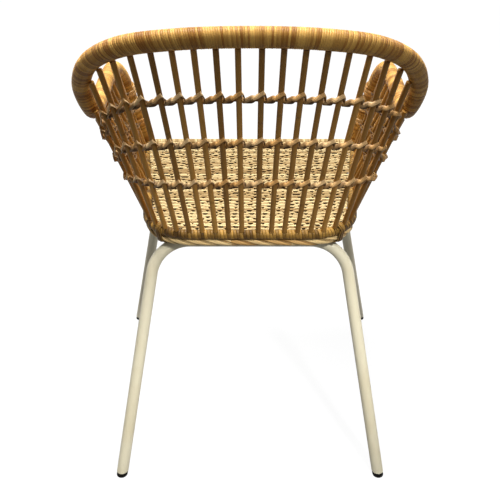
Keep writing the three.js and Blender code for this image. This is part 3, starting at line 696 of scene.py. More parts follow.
def stake_ends(name):
    """Foot and head of a stake, in mm: the middles of the two ends of its CAD bar."""
    points = np.array([v.co for v in cad_nodes[name].data.vertices], float) / mm
    points = np.unique(points.round(3), axis=0)
    middle = points.mean(0)
    way = np.linalg.svd(points - middle)[2][0]
    way = way if way[2] > 0 else -way
    reach = (points - middle) @ way
    return points[reach < 0].mean(0), points[reach > 0].mean(0)


stake_names = [f"stake_{side}_{k:02d}" for side in ("left", "right") for k in range(1, STAKES_A_SIDE + 1)]
stakes = {name: stake_ends(name) for name in stake_names}
print("the first stake's foot and head:", *(end.round(1) for end in stakes["stake_left_01"]))

# %% Tree: round canes between two points
standing, given = new_tree(
    "round cane with leaf joints",
    Swelling="Float",
    Spacing="Float",
    Step="Float",
    **STRIP,
)
JOINT_REACH = 7.0  # mm on each side of a leaf joint over which the cane swells
SCAR_HALF, SCAR_FADE, SCAR_DEPTH = 0.8, 2.4, 0.4  # the dark ring on the joint: mm, mm and how dark
UNCUT_CANE, CUT_SEED = 10.0, 3  # metres of cane before the cuts, and the seed that places them
bars = add(standing, "GeometryNodeMeshToCurve", {"Mesh": given["Geometry"]})["Curve"]
bars = {"Curve": bars, "Length": given["Step"]}
bars = add(standing, "GeometryNodeResampleCurve", bars, mode="LENGTH")["Curve"]
number = add(standing, "GeometryNodeCurveOfPoint")["Curve Index"]
length = add(standing, "GeometryNodeSplineParameter")["Length"]
# Each cane was cut at a place of its own, so its joints lie at heights of their own
start = {3: UNCUT_CANE, "ID": number, "Seed": CUT_SEED}
start = add(standing, "FunctionNodeRandomValue", start, data_type="FLOAT")[1]
along = add(standing, "ShaderNodeMath", {0: length, 1: start}, operation="ADD")[0]

# %% Standing canes: leaf joints
# How far each point is from the nearest joint; joints stand in the middle of each space
away = add(standing, "ShaderNodeMath", {0: along, 1: given["Spacing"]}, operation="DIVIDE")[0]
for operation in ("FRACT", "SUBTRACT", "ABSOLUTE"):
    away = add(standing, "ShaderNodeMath", {0: away, 1: 0.5}, operation=operation)[0]
away = add(standing, "ShaderNodeMath", {0: away, 1: given["Spacing"]}, operation="MULTIPLY")[0]
joint = {"Value": away, "From Min": 0.0, "From Max": JOINT_REACH * mm, "To Min": 1.0, "To Max": 0.0}
joint = add(standing, "ShaderNodeMapRange", joint, interpolation_type="SMOOTHSTEP")["Result"]
scar = {"Value": away, "From Min": SCAR_HALF * mm, "From Max": SCAR_FADE * mm}
scar = add(standing, "ShaderNodeMapRange", {**scar, "To Min": SCAR_DEPTH, "To Max": 0.0})["Result"]
girth = add(standing, "ShaderNodeMath", {0: joint, 1: given["Swelling"], 2: 1.0}, operation="MULTIPLY_ADD")[0]
bars = note(standing, bars, strip=number, along=along, joint=scar)
bars = add(standing, "GeometryNodeSetCurveRadius", {"Curve": bars, "Radius": girth})["Curve"]
finish_tree(standing, given, bars)

# %% Stakes
CANE_STEP = 2.6  # mm from one section to the next, fine enough for the joints
STAKE_SWELLING, STAKE_JOINTS = 0.07, 340  # share of the radius, and mm from one leaf joint to the next
grow(
    "round_stakes",
    standing,
    lines([np.array(ends) for ends in stakes.values()]),
    stake_names,
    "rattan_cane",
    Swelling=STAKE_SWELLING,
    Spacing=STAKE_JOINTS * mm,
    Step=CANE_STEP * mm,
    **strip_of(2 * STAKE_RADIUS, 2 * STAKE_RADIUS, 14, round_cane),
)

# %% [markdown]
# ## Bearers
#
# Two thicker poles run from the back of the ring to its front, under the seat. They sit on the steel
# tubes. They are peeled, and the same tree makes them.

# %% Bearers
BEARER_RADIUS = 9.0
BEARER_X = RING_REAR_HALF - RING_CORNER - BEARER_RADIUS  # where the ring's back is still straight
SEAT_OVER_RING, SEAT_THICKNESS = 5.0, 7.0


def bearer_z(y):
    """Height of a bearer's middle line: it lies just under the seat."""
    return ring_z(y) + SEAT_OVER_RING - SEAT_THICKNESS - CLEARANCE - BEARER_RADIUS


RING_INSIDE = RING_RADIUS + CLEARANCE
bearer_y = np.array([RING_REAR_Y - RING_INSIDE, RING_FRONT_Y + RING_INSIDE])
for side_name, side in (("left", 1), ("right", -1)):
    grow(
        f"round_bearer_{side_name}",
        standing,
        lines([np.column_stack([np.full(2, side * BEARER_X), bearer_y, bearer_z(bearer_y)])]),
        [f"seat_bearer_{side_name}"],
        "rattan_pole",
        Swelling=0.03,
        Spacing=310 * mm,
        Step=CANE_STEP * mm,
        **strip_of(2 * BEARER_RADIUS, 2 * BEARER_RADIUS, 24, peeled_pole),
    )

# %% [markdown]
# ## Twined rows
#
# Three rows tie the stakes together. In twining, two canes change places after every stake: the one that
# lay in front is pulled round the stake's edge and down behind, and the other comes out below it. So from
# outside each pass is a flat cane that starts low, climbs to the next stake and ends there in a sharp
# upper corner. The lines hold one point on every stake; the tree bends a smooth curve through them and
# lays two strands along it. Sideways they move along the curve itself, but their climb is added to the
# swept mesh, because a pull round an edge shears a flat cane and doesn't fan it out.

# %% Where the rows cross the stakes
ROW_REAR_SHARES = {"top": 0.75, "middle": 0.533, "bottom": 0.313}
ROW_SIDE_SHARES = {"top": 0.75, "middle": 0.54, "bottom": 0.36}
ROW_BLEND = (5, 10)  # the rows change height between these stakes


def row_points(row):
    """Where a row crosses the stakes of the left side, and the way each stake stands there."""
    points, ways = [], []
    for k in range(STAKES_A_SIDE):
        foot, head = stakes[f"stake_left_{k + 1:02d}"]
        way = (head - foot) / np.linalg.norm(head - foot)
        # On to the middle of the ring and of the rail
        foot, head = foot - way * RING_RADIUS, head + way * RAIL_RADIUS
        t = np.clip((k - ROW_BLEND[0]) / (ROW_BLEND[1] - ROW_BLEND[0]), 0, 1)
        t = t * t * (3 - 2 * t)
        share = (1 - t) * ROW_REAR_SHARES[row] + t * ROW_SIDE_SHARES[row]
        points.append(foot + (head - foot) * share)
        ways.append(way)
    return np.array(points), np.array(ways)


def whole_row(left):
    """The left half of a row and its mirror image, from left to right."""
    return np.vstack([left[::-1], left * [-1, 1, 1]])


print("the top row crosses the first stake at", row_points("top")[0][0].round(1))

# %% Tree: two strands twined through a row of stakes
twining, given = new_tree(
    "two strands twined through a row",
    Steps="Int",
    Lead="Float",
    Rise="Float",
    Drop="Float",
    Tilt="Float",
    **STRIP,
)
row = add(twining, "GeometryNodeMeshToCurve", {"Mesh": given["Geometry"]})["Curve"]
row = add(twining, "GeometryNodeCurveSplineType", {"Curve": row}, spline_type="CATMULL_ROM")["Curve"]
row = {"Geometry": row, "Resolution": given["Steps"]}
row = add(twining, "GeometryNodeSetSplineResolution", row)["Geometry"]
row = add(twining, "GeometryNodeResampleCurve", {"Curve": row}, mode="EVALUATED")["Curve"]
strands = add(twining, "GeometryNodeDuplicateElements", {"Geometry": row, "Amount": 2}, domain="SPLINE")
place = add(twining, "GeometryNodeSplineParameter")
passes = place["Index"]
for operation, by in (
    ("DIVIDE", given["Steps"]),
    ("ADD", strands["Duplicate Index"]),
    ("SUBTRACT", given["Lead"]),
):
    passes = add(twining, "ShaderNodeMath", {0: passes, 1: by}, operation=operation)[0]

# %% Twining: in front of the stakes and behind them
# A pass runs from just after one stake to just after the next; every second one is behind
ALMOST_HALF = 0.4999  # just under a half, so that rounding doesn't put a pass's start on the wrong side
part = add(twining, "ShaderNodeMath", {0: passes}, operation="FRACT")[0]
behind = passes
for operation, by in (("MULTIPLY", 0.5), ("FRACT", 0.0), ("GREATER_THAN", ALMOST_HALF)):
    behind = add(twining, "ShaderNodeMath", {0: behind, 1: by}, operation=operation)[0]
in_front = add(twining, "ShaderNodeMath", {0: behind, 1: -2.0, 2: 1.0}, operation="MULTIPLY_ADD")[0]
# Each pass has three smooth changes: through the row, out to clear the next stake, down to a new start
changed = {}
for name, first, last in (("through", 0.0, 0.13), ("out", 0.42, 0.6), ("down", 0.0, 0.16)):
    share = {"Value": part, "From Min": first, "From Max": last}
    changed[name] = add(twining, "ShaderNodeMapRange", share, interpolation_type="SMOOTHSTEP")["Result"]
HUG = 0.22  # in the gap, the strands lie this share of their reach from the row's middle
side = -1.0
for change, way in ((changed["through"], 1 + HUG), (changed["out"], 1 - HUG)):
    side = add(twining, "ShaderNodeMath", {0: change, 1: way, 2: side}, operation="MULTIPLY_ADD")[0]
side = add(twining, "ShaderNodeMath", {0: side, 1: in_front}, operation="MULTIPLY")[0]

# %% Twining: the climb and the reach
# In front a strand climbs all the way, steeper towards the end; behind, it drops at once and stays low
STEEPENING = 1.2
climb = add(twining, "ShaderNodeMath", {0: part, 1: STEEPENING}, operation="POWER")[0]
high = add(twining, "ShaderNodeMath", {0: 1.0, 1: changed["down"]}, operation="SUBTRACT")[0]
climb = add(twining, "ShaderNodeMix", {0: behind, 2: climb, 3: high}, data_type="FLOAT")[0]
for operation, size in (("MULTIPLY", "Rise"), ("SUBTRACT", "Drop")):
    climb = add(twining, "ShaderNodeMath", {0: climb, 1: given[size]}, operation=operation)[0]
upright = {"Name": "way"}
upright = add(twining, "GeometryNodeInputNamedAttribute", upright, data_type="FLOAT_VECTOR")["Attribute"]
reach = add(twining, "GeometryNodeInputNamedAttribute", {"Name": "reach"}, data_type="FLOAT")["Attribute"]
tangent = add(twining, "GeometryNodeInputTangent")["Tangent"]
out = add(twining, "ShaderNodeVectorMath", {0: tangent, 1: upright}, operation="CROSS_PRODUCT")["Vector"]
out = add(twining, "ShaderNodeVectorMath", {0: out}, operation="NORMALIZE")["Vector"]
reach = add(twining, "ShaderNodeMath", {0: side, 1: reach}, operation="MULTIPLY")[0]
swing = add(twining, "ShaderNodeVectorMath", {0: out, "Scale": reach}, operation="SCALE")["Vector"]
lift = add(twining, "ShaderNodeVectorMath", {0: upright, "Scale": climb}, operation="SCALE")["Vector"]

# %% Twining: shade, width and face
# Each pass counts as a strip of its own
PASSES_APART = 61.0  # more than a row's stakes, so that no two passes share a number
strip = {0: strands["Duplicate Index"], 1: PASSES_APART, 2: passes}
strip = add(twining, "ShaderNodeMath", strip, operation="MULTIPLY_ADD")[0]
# Painted shade: behind a stake and where it comes out from behind, a strand is darkened fully; across the gap
# half as much, and over the next stake not at all
BEHIND_SHADE, GAP_SHADE = 0.9, 0.68
front_shade = 0.0
for change, most in ((changed["through"], BEHIND_SHADE), (changed["out"], GAP_SHADE)):
    fading = add(twining, "ShaderNodeMath", {0: change, 1: -most, 2: most}, operation="MULTIPLY_ADD")[0]
    front_shade = add(twining, "ShaderNodeMath", {0: front_shade, 1: fading}, operation="MAXIMUM")[0]
back_shade = add(twining, "ShaderNodeMath", {0: changed["through"], 1: BEHIND_SHADE}, operation="MULTIPLY")[0]
painted_shade = add(twining, "ShaderNodeMix", {0: behind, 2: front_shade, 3: back_shade}, data_type="FLOAT")[0]
# The "joint" note carries this painted shade to the material
curves = note(twining, strands["Geometry"], strip=strip, along=place["Length"], joint=painted_shade)
curves = note(twining, curves, "FLOAT_VECTOR", swing=swing, lift=lift)
# Over a stake a strand is pressed flat and wide, and between two stakes the twist folds it narrower
FOLDED, PRESSED = 0.72, 1.12  # shares of the strand's width
spread = {"Value": changed["out"], "To Min": FOLDED, "To Max": PRESSED}
spread = add(twining, "ShaderNodeMapRange", spread)["Result"]
spread = add(twining, "ShaderNodeMix", {0: behind, 2: spread, 3: FOLDED}, data_type="FLOAT")[0]
curves = add(twining, "GeometryNodeSetCurveRadius", {"Curve": curves, "Radius": spread})["Curve"]
swing = {"Name": "swing"}
swing = add(twining, "GeometryNodeInputNamedAttribute", swing, data_type="FLOAT_VECTOR")["Attribute"]
curves = add(twining, "GeometryNodeSetPosition", {"Geometry": curves, "Offset": swing})["Geometry"]
# The face looks out square to the way that the strand now takes, tilted up a little. Out was worked out
# from the tangent, and a field is read afresh where it is used, so here it follows the moved strand.
above = add(twining, "ShaderNodeVectorMath", {0: out, 1: tangent}, operation="CROSS_PRODUCT")["Vector"]
above = add(twining, "ShaderNodeVectorMath", {0: above, "Scale": given["Tilt"]}, operation="SCALE")["Vector"]
facing = add(twining, "ShaderNodeVectorMath", {0: out, 1: above}, operation="ADD")["Vector"]
facing = add(twining, "ShaderNodeVectorMath", {0: facing}, operation="NORMALIZE")["Vector"]
curves = add(twining, "GeometryNodeSetCurveNormal", {"Curve": curves, "Normal": facing}, mode="FREE")["Curve"]
finish_tree(twining, given, curves)

# %% Twined rows
STRAND_WIDTH, STRAND_THICKNESS = 7.0, 2.4
STRAND_REACH = STAKE_RADIUS * (1 + STAKE_SWELLING) + CLEARANCE + STRAND_THICKNESS / 2
for row_name in ROW_REAR_SHARES:
    points, ways = row_points(row_name)
    grow(
        f"twined_row_{row_name}",
        twining,
        lines(
            [whole_row(points)],
            way=whole_row(ways),
            reach=np.full(2 * len(points), STRAND_REACH * mm),
        ),
        [f"twining_{row_name}"],
        "rattan_cane",
        Steps=24,
        Lead=0.13,
        Rise=18.5 * mm,
        Drop=5.8 * mm,
        Tilt=0.8,
        **strip_of(STRAND_WIDTH, STRAND_THICKNESS, CANE_SIDES, twining_cane),
    )

# %% [markdown]
# ## Tied ends and corner lashings
#
# A row doesn't just stop: its two strands are carried on to the front post and wound round it. At the
# back corners the ring and the border are lashed together with strips that cross each other. Both are
# lines that are worked out here point by point, each with the way its face looks, and one short tree
# sweeps them.

# %% Tree: strips along given lines
laid, given = new_tree("strips along given lines", **STRIP)
curves = add(laid, "GeometryNodeMeshToCurve", {"Mesh": given["Geometry"]})["Curve"]
number = add(laid, "GeometryNodeCurveOfPoint")["Curve Index"]
along = add(laid, "GeometryNodeSplineParameter")["Length"]
curves = note(laid, curves, strip=number, along=along)
facing = {"Name": "facing"}
facing = add(laid, "GeometryNodeInputNamedAttribute", facing, data_type="FLOAT_VECTOR")["Attribute"]
curves = add(laid, "GeometryNodeSetCurveNormal", {"Curve": curves, "Normal": facing}, mode="FREE")["Curve"]
finish_tree(laid, given, curves)

# %% Tied ends
TIE_TURNS, TIE_PITCH, TIE_STEPS = 2.6, 6.6, 20  # turns round the post, mm to a turn, points to a turn
TIE_WIDTH, TIE_THICKNESS = 6.2, 2.0


def unit(vector):
    """The same direction, with a length of 1."""
    return vector / np.linalg.norm(vector)


def tied_end(row):
    """From behind the last stake to the front post and round it: points and faces, in mm."""
    points, ways = row_points(row)
    last, before = points[-1], points[-2]
    heading = unit(last - before)
    outwards = unit(np.cross(ways[-1], heading))
    outwards = outwards if outwards[0] > 0 else -outwards
    away = rail_route - last
    ahead = away @ heading
    off_line = np.linalg.norm(away - np.outer(ahead, heading), axis=1)
    off_line[(ahead < 0) | (rail_route[:, 0] < 0)] = np.inf
    nearest = int(off_line.argmin())
    post = rail_route[nearest]
    post_way = unit(rail_route[nearest - 2] - rail_route[nearest + 2])
    post_way = post_way if post_way[2] > 0 else -post_way
    reach = RAIL_RADIUS + CLEARANCE + STRAND_THICKNESS / 2
    first = unit(outwards - post_way * (outwards @ post_way))
    second = np.cross(post_way, first)
    second = second if second @ heading > 0 else -second
    run = [(last + outwards * STRAND_REACH, outwards)]
    for i in range(int(TIE_TURNS * TIE_STEPS) + 1):
        turn = i / TIE_STEPS
        arm = first * math.cos(2 * math.pi * turn) + second * math.sin(2 * math.pi * turn)
        run.append((post + arm * reach + post_way * TIE_PITCH * (turn - TIE_TURNS / 2), arm))
    return np.array([p for p, _ in run]), np.array([f for _, f in run])


ties, tie_faces = [], []
for row_name in ROW_REAR_SHARES:
    run, faces = tied_end(row_name)
    for side in (1, -1):
        ties.append(run * [side, 1, 1])
        tie_faces.append(faces * [side, 1, 1])
    print(f"{row_name} row: its end goes from", run[0].round(), "to the post at", run[1:].mean(0).round())
grow(
    "tied_ends",
    laid,
    lines(ties, facing=np.vstack(tie_faces)),
    slot="rattan_cane",
    **strip_of(TIE_WIDTH, TIE_THICKNESS, CANE_SIDES, twining_cane),
)

# %% Corner lashings
LASHING_PLACE = 148.2  # along the ring from the middle of the back, between two stakes
LASHING_WIDTH, LASHING_THICKNESS = 3.4, 1.3
LASHING_STEPS = 36  # points to a turn
LASHING_GAP = 0.4  # the strips clear the windings under them by this much


def place_on(route, distance):
    """Point and direction at a distance along a run of points."""
    steps = np.linalg.norm(np.diff(route, axis=0), axis=1)
    marks = np.concatenate([[0], np.cumsum(steps)])
    point = np.array([np.interp(distance, marks, route[:, i]) for i in range(3)])
    beyond = np.array([np.interp(distance + 1, marks, route[:, i]) for i in range(3)])
    return point, unit(beyond - point)


def lashing(turns, pitch, slant, layer):
    """A strip wound round ring and border together; slant shifts its top against its bottom."""
    ring, way = place_on(ring_half(), LASHING_PLACE)
    high = unit(np.array([0, 0, 1]) - way * way[2])
    out = np.cross(way, high)
    out = out if out @ ring > 0 else -out
    border = ring - high * BORDER_DROP - out * BORDER_INSET
    lift = LASHING_GAP + LASHING_THICKNESS * (layer + 0.5)
    points, faces = [], []
    for i in range(int(turns * LASHING_STEPS) + 1):
        turn = i / LASHING_STEPS
        angle = 2 * math.pi * turn - math.pi / 2
        arm = out * math.cos(angle) + high * math.sin(angle)
        round_ring = ring + arm * (RING_RADIUS + lift)
        round_border = border + arm * (BORDER_RADIUS + lift)
        at = round_ring if (round_ring - round_border) @ arm > 0 else round_border
        shift = pitch * (turn - turns / 2) + slant * math.sin(angle)
        points.append(at + way * shift)
        faces.append(arm)
    return np.array(points), np.array(faces)


lashings = [
    lashing(turns=3.0, pitch=3.8, slant=2.6, layer=0),
    lashing(turns=2.0, pitch=3.8, slant=-3.4, layer=1),
]
for side_name, side in (("left", 1), ("right", -1)):
    mirror = [side, 1, 1]
    grow(
        f"crossed_lashing_{side_name}",
        laid,
        lines(
            [run * mirror for run, _ in lashings],
            facing=np.vstack([faces * mirror for _, faces in lashings]),
        ),
        [f"corner_binding_{side_name}"],
        "rattan_cane",
        **strip_of(LASHING_WIDTH, LASHING_THICKNESS, CANE_SIDES, ring_peel),
    )

# %% [markdown]
# ## Woven seat
#
# The seat is woven in place. Flat wefts run from side to side and dive under every second warp, each
# beside the next one's dive, so little of the warps shows: only short dashes in staggered rows, dark with
# painted shade. One tree bends the strips of both directions. It raises and lowers each strip by where it
# is in the pattern, with flat tops and steep dives as in real weaving; one size says how short the dives are.

# %% Tree: strips raised and lowered in turn
weaving, given = new_tree(
    "strips raised and lowered in turn",
    Crossing="Float",
    Wave="Float",
    Turn="Float",
    Steps="Int",
    **STRIP,
)
UNEVEN_SCALE, WANDER_SCALE = 45.0, 70.0  # changes a metre, so one every 22 mm and one every 14 mm
STRIPS_APART = 7.3  # keeps each strip's noise unlike its neighbour's
MOST_SHIFT = 0.35  # crossings, either way
LOOSEST, TIGHTEST = -0.4, 0.25
DIVE_HALF = 0.2  # half of the cosine's span over which a strip changes level
WANDER_ASIDE, WANDER_UP = 3.2, 0.8
strips = add(weaving, "GeometryNodeMeshToCurve", {"Mesh": given["Geometry"]})["Curve"]
step = add(weaving, "ShaderNodeMath", {0: given["Crossing"], 1: given["Steps"]}, operation="DIVIDE")[0]
strips = add(weaving, "GeometryNodeResampleCurve", {"Curve": strips, "Length": step}, mode="LENGTH")["Curve"]
along = add(weaving, "GeometryNodeSplineParameter")["Length"]
start = add(weaving, "GeometryNodeInputNamedAttribute", {"Name": "start"}, data_type="FLOAT")["Attribute"]
position = add(weaving, "GeometryNodeInputPosition")["Position"]
number = add(weaving, "GeometryNodeInputNamedAttribute", {"Name": "strip"}, data_type="FLOAT")["Attribute"]
number = add(weaving, "ShaderNodeMath", {0: number, 1: STRIPS_APART}, operation="MULTIPLY")[0]
uneven = {"Vector": position, "W": number, "Scale": UNEVEN_SCALE, "Detail": 1.0}
uneven = add(weaving, "ShaderNodeTexNoise", uneven, noise_dimensions="4D")["Color"]
uneven = add(weaving, "ShaderNodeSeparateXYZ", {"Vector": uneven})
# The crossings are a little uneven, too
shift = {"Value": uneven["X"], "From Min": 0.35, "From Max": 0.65}
shift = add(weaving, "ShaderNodeMapRange", {**shift, "To Min": -MOST_SHIFT, "To Max": MOST_SHIFT})["Result"]
crossing = along
for operation, by in (("DIVIDE", given["Crossing"]), ("ADD", start), ("ADD", shift)):
    crossing = add(weaving, "ShaderNodeMath", {0: crossing, 1: by}, operation=operation)[0]

# %% Weaving: dives
# Some dives are long and deep, others hardly open the weave
tightness = {"Value": uneven["Y"], "From Min": 0.3, "From Max": 0.7, "To Min": LOOSEST, "To Max": TIGHTEST}
tightness = add(weaving, "ShaderNodeMapRange", tightness)["Result"]
turn = add(weaving, "ShaderNodeMath", {0: given["Turn"], 1: tightness}, operation="ADD")[0]
wave = crossing
for operation, by in (("MULTIPLY", math.pi), ("COSINE", 0.0), ("SUBTRACT", turn)):
    wave = add(weaving, "ShaderNodeMath", {0: wave, 1: by}, operation=operation)[0]
wave = {"Value": wave, "From Min": -DIVE_HALF, "From Max": DIVE_HALF, "To Min": -1.0, "To Max": 1.0}
wave = add(weaving, "ShaderNodeMapRange", wave, interpolation_type="SMOOTHSTEP")["Result"]
wave = add(weaving, "ShaderNodeMath", {0: wave, 1: given["Wave"]}, operation="MULTIPLY")[0]

# %% Weaving: small wanderings
# No strip is laid by a machine: each wanders a little
wander = {"Vector": position, "W": number, "Scale": WANDER_SCALE, "Detail": 1.0}
offset = add(weaving, "ShaderNodeTexNoise", wander, noise_dimensions="4D")["Color"]
wave = add(weaving, "ShaderNodeCombineXYZ", {"Z": wave})["Vector"]
for operation, by in (
    ("SUBTRACT", (0.5, 0.5, 0.5)),
    ("MULTIPLY", (0.0, WANDER_ASIDE * mm, WANDER_UP * mm)),
    ("ADD", wave),
):
    offset = add(weaving, "ShaderNodeVectorMath", {0: offset, 1: by}, operation=operation)["Vector"]
strips = note(weaving, strips, along=along)
strips = add(weaving, "GeometryNodeSetPosition", {"Geometry": strips, "Offset": offset})["Geometry"]
strips = {"Curve": strips, "Normal": (0.0, 0.0, 1.0)}
strips = add(weaving, "GeometryNodeSetCurveNormal", strips, mode="FREE")["Curve"]
finish_tree(weaving, given, strips)

# %% Where the strips run
WARP_SPACING, WEFT_SPACING = 12.0, 5.75
WEFT_WIDTH, WARP_WIDTH = 5.9, 12.0
WEFT_THICKNESS, WARP_THICKNESS = 1.8, 1.6
WEFT_WAVE, WARP_WAVE = 1.4, 0.5
WEFT_TURN, WARP_TURN = -0.72, 0.0  # the cosine at which a strip changes level: low for short dives
WEFT_LIFT, WARP_LIFT = 0.9, -0.8  # mm above the middle of the CAD's slab: wefts on top, warps below
SEAT_GAP = 0.6  # between the seat and the ring's winding
seat_edge = ring_half(RING_RADIUS + SEAT_GAP)[:, :2]
print("seat half widths:", seat_edge[:, 0].max().round(1), "depth:", np.ptp(seat_edge[:, 1]).round(1))


def seat_z(y, lift):
    """Height in the seat, measured from the middle of its thickness."""
    return ring_z(y) + SEAT_OVER_RING - SEAT_THICKNESS / 2 + lift


def edge_crossings(axis, value):
    """Where a line of this x or y crosses the seat's left edge: the other coordinates, from low to high."""
    found = []
    for a, b in zip(seat_edge, seat_edge[1:]):
        if min(a[axis], b[axis]) <= value < max(a[axis], b[axis]):
            t = (value - a[axis]) / (b[axis] - a[axis])
            found.append(a[1 - axis] + t * (b[1 - axis] - a[1 - axis]))
    return sorted(found)


rear_y, front_y = seat_edge[0, 1], seat_edge[-1, 1]
weft_count = int((rear_y - front_y) / WEFT_SPACING)
weft_step = (rear_y - front_y) / weft_count
wefts, weft_numbers, weft_starts = [], [], []
for k in range(weft_count):
    y = rear_y - (k + 0.5) * weft_step
    half, z = edge_crossings(1, y)[-1], seat_z(y, WEFT_LIFT)
    wefts.append(np.array([(-half, y, z), (half, y, z)]))
    weft_numbers += [k, k]
    weft_starts += [-half / WARP_SPACING + k] * 2
FIRST_WARP = 500  # a number past the wefts', so that each strip has one of its own
warps, warp_numbers, warp_starts = [], [], []
warps_a_side = int(seat_edge[:, 0].max() / WARP_SPACING)
for k in range(-warps_a_side, warps_a_side + 1):
    x = k * WARP_SPACING
    front, rear = edge_crossings(0, max(abs(x), CLEARANCE))
    warps.append(np.array([(x, rear, seat_z(rear, WARP_LIFT)), (x, front, seat_z(front, WARP_LIFT))]))
    warp_numbers += [k + FIRST_WARP] * 2
    warp_starts += [(rear_y - rear) / weft_step - 0.5 + k + 1] * 2
print(len(wefts), "wefts and", len(warps), "warps")

# %% Seat
def weave(name, strips, crossing, wave, turn, **strip):
    """Weaves the strips of one direction; strips are their lines, in mm, their numbers and their starts."""
    runs, numbers, starts = strips
    grow(
        name,
        weaving,
        lines(runs, strip=numbers, start=starts),
        ["woven_seat"],
        "woven_cane",
        Crossing=crossing * mm,
        Wave=wave * mm,
        Turn=turn,
        Steps=6,
        **strip,
    )


weave(
    "woven_wefts",
    (wefts, weft_numbers, weft_starts),
    WARP_SPACING,
    WEFT_WAVE,
    WEFT_TURN,
    **strip_of(WEFT_WIDTH, WEFT_THICKNESS, CANE_SIDES, seat_peel),
)
# The warps' dark colour is painted shade
weave(
    "woven_warps",
    (warps, warp_numbers, warp_starts),
    weft_step,
    WARP_WAVE,
    WARP_TURN,
    **strip_of(WARP_WIDTH, WARP_THICKNESS, CANE_SIDES, warp_in_painted_shade),
)

# %% [markdown]
# ## Steel tubes and glides
#
# Each leg frame is one tube, bent twice: up from one foot, across under the bearers, and down to the
# other foot. It is hollow, and its ends are cut level, so that they stand flat on the glides. A glide is
# moulded: a round foot with soft edges and a plug that is pressed into the tube.

# %% How the legs stand
TUBE_RADIUS, TUBE_WALL, LEG_BEND = 10.0, 1.5, 66.0
GLIDE_HEIGHT, GLIDE_RADIUS, PLUG_LENGTH = 8.0, 9.6, 20.0
TUBE_SIDES, TUBE_TURN_STEP = 40, math.radians(2.5)
# Foot x and y, half of the width at the top, and the top's y
leg_frames = {"rear": (226.5, 238, 156, 102), "front": (262, -249, 172, -150)}


def leg_top(top_y):
    """Height of a tube's middle line where it runs under the bearers."""
    return bearer_z(top_y) - BEARER_RADIUS - CLEARANCE - TUBE_RADIUS


def leg_lean(foot_x, foot_y, top_half, top_y):
    """How far a leg moves in x and y for each millimetre of height."""
    return np.array([top_half - foot_x, top_y - foot_y, 0]) / leg_top(top_y)


print("tops of the leg frames:", [round(leg_top(top_y), 1) for *_, top_y in leg_frames.values()])

# %% Leg frames
def leg_mesh(foot_x, foot_y, top_half, top_y):
    """One bent tube with its wall, from foot to foot."""
    lean = leg_lean(foot_x, foot_y, top_half, top_y)
    low = GLIDE_HEIGHT + CLEARANCE
    foot = np.array([foot_x, foot_y, 0]) + lean * low + [0, 0, low]
    top = leg_top(top_y)
    bends = [((0, top_y, top), 0), ((top_half, top_y, top), LEG_BEND), (foot, 0)]
    half = rounded(bends, TUBE_TURN_STEP)
    route = both_sides(half)
    ways = np.gradient(route, axis=0)
    ways[0], ways[-1] = route[1] - route[0], route[-1] - route[-2]
    ways /= np.linalg.norm(ways, axis=1)[:, None]
    across = unit(np.cross(ways[0], ways[-1]))
    angles = np.arange(TUBE_SIDES) * 2 * math.pi / TUBE_SIDES
    shells = []
    for radius in (TUBE_RADIUS, TUBE_RADIUS - TUBE_WALL):
        rings = []
        for at, way in zip(route, ways):
            third = np.cross(way, across)
            circle = np.outer(np.cos(angles), across) + np.outer(np.sin(angles), third)
            rings.append(at + radius * circle)
        for end in (0, -1):  # level ends: every point slides along the leg to the foot's height
            rings[end] = rings[end] + np.outer((low - rings[end][:, 2]) / ways[end][2], ways[end])
        shells.append(np.array(rings))
    points = np.concatenate([shell.reshape(-1, 3) for shell in shells])
    count, inner = len(route), len(route) * TUBE_SIDES
    faces = []
    for j in range(TUBE_SIDES):
        k = (j + 1) % TUBE_SIDES
        for i in range(count - 1):
            a, b = i * TUBE_SIDES + j, i * TUBE_SIDES + k
            c, d = b + TUBE_SIDES, a + TUBE_SIDES
            faces += [(a, b, c, d), (inner + d, inner + c, inner + b, inner + a)]
        last = (count - 1) * TUBE_SIDES
        faces += [(inner + j, inner + k, k, j), (last + j, last + k, inner + last + k, inner + last + j)]
    return solid(points, faces, powder_coat)


def solid(points, faces, material, sharp=40):
    """A mesh in metres from points in mm, shaded smooth but for edges sharper than an angle in degrees."""
    data = bpy.data.meshes.new("solid")
    data.from_pydata((points * mm).tolist(), [], faces)
    data.materials.append(material)
    data.shade_smooth()
    data.set_sharp_from_angle(angle=math.radians(sharp))
    return data


for where, sizes in leg_frames.items():
    keep(f"bent_tube_{where}", leg_mesh(*sizes), [f"leg_frame_{where}"])

# %% Glides
GLIDE_SIDES = 40
SOLE_ROUNDING, RIM_ROUNDING, PLUG_GAP = 1.6, 0.5, 0.5


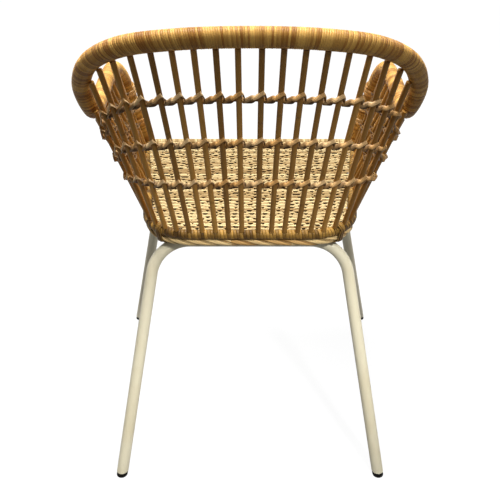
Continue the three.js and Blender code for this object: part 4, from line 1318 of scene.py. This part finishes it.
def glide_mesh(foot_x, foot_y, top_half, top_y, side):
    """A foot and its plug, turned round an upright axis and then leant as its leg leans."""

    def corner(radius, height, size, first):
        """A quarter of a circle in the profile, from an angle in degrees on."""
        angles = np.radians(first + np.array([0, 30, 60, 90]))
        return [(radius + size * math.cos(a), height + size * math.sin(a)) for a in angles]

    plug = TUBE_RADIUS - TUBE_WALL - PLUG_GAP
    profile = [(0, 0), *corner(GLIDE_RADIUS - SOLE_ROUNDING, SOLE_ROUNDING, SOLE_ROUNDING, -90)]
    profile += corner(GLIDE_RADIUS - RIM_ROUNDING, GLIDE_HEIGHT - RIM_ROUNDING, RIM_ROUNDING, 0)
    profile += [(plug, GLIDE_HEIGHT), (plug, GLIDE_HEIGHT + PLUG_LENGTH), (0, GLIDE_HEIGHT + PLUG_LENGTH)]
    lean = leg_lean(foot_x, foot_y, top_half, top_y) * [side, 1, 1]
    points = [(0, 0, 0)]
    for radius, height in profile[1:-1]:
        for j in range(GLIDE_SIDES):
            angle = 2 * math.pi * j / GLIDE_SIDES
            points.append((radius * math.cos(angle), radius * math.sin(angle), height))
    points.append((0, 0, profile[-1][1]))
    points = np.array(points)
    points = points + np.outer(points[:, 2], lean) + [side * foot_x, foot_y, 0]
    faces, last = [], len(points) - 1
    for j in range(GLIDE_SIDES):
        k = (j + 1) % GLIDE_SIDES
        faces.append((0, 1 + k, 1 + j))
        for i in range(len(profile) - 3):
            a, b = 1 + i * GLIDE_SIDES + j, 1 + i * GLIDE_SIDES + k
            faces.append((a, b, b + GLIDE_SIDES, a + GLIDE_SIDES))
        faces.append((last - GLIDE_SIDES + j, last - GLIDE_SIDES + k, last))
    return solid(points, faces, polypropylene)


for where, sizes in leg_frames.items():
    for side_name, side in (("left", 1), ("right", -1)):
        name = f"{where}_{side_name}"
        keep(f"moulded_foot_{name}", glide_mesh(*sizes, side), [f"glide_{name}"])

# %% [markdown]
# ## The poles inside
#
# The poles inside the windings show only at the rail's two ends. They stay as the CAD has them and get
# their finish.

# %% Poles
for name in ("rail_pole", "seat_ring_pole"):
    cad_nodes[name].data.materials.clear()
    cad_nodes[name].data.materials.append(peeled_pole)
    print(name, "is finished as", peeled_pole.name)
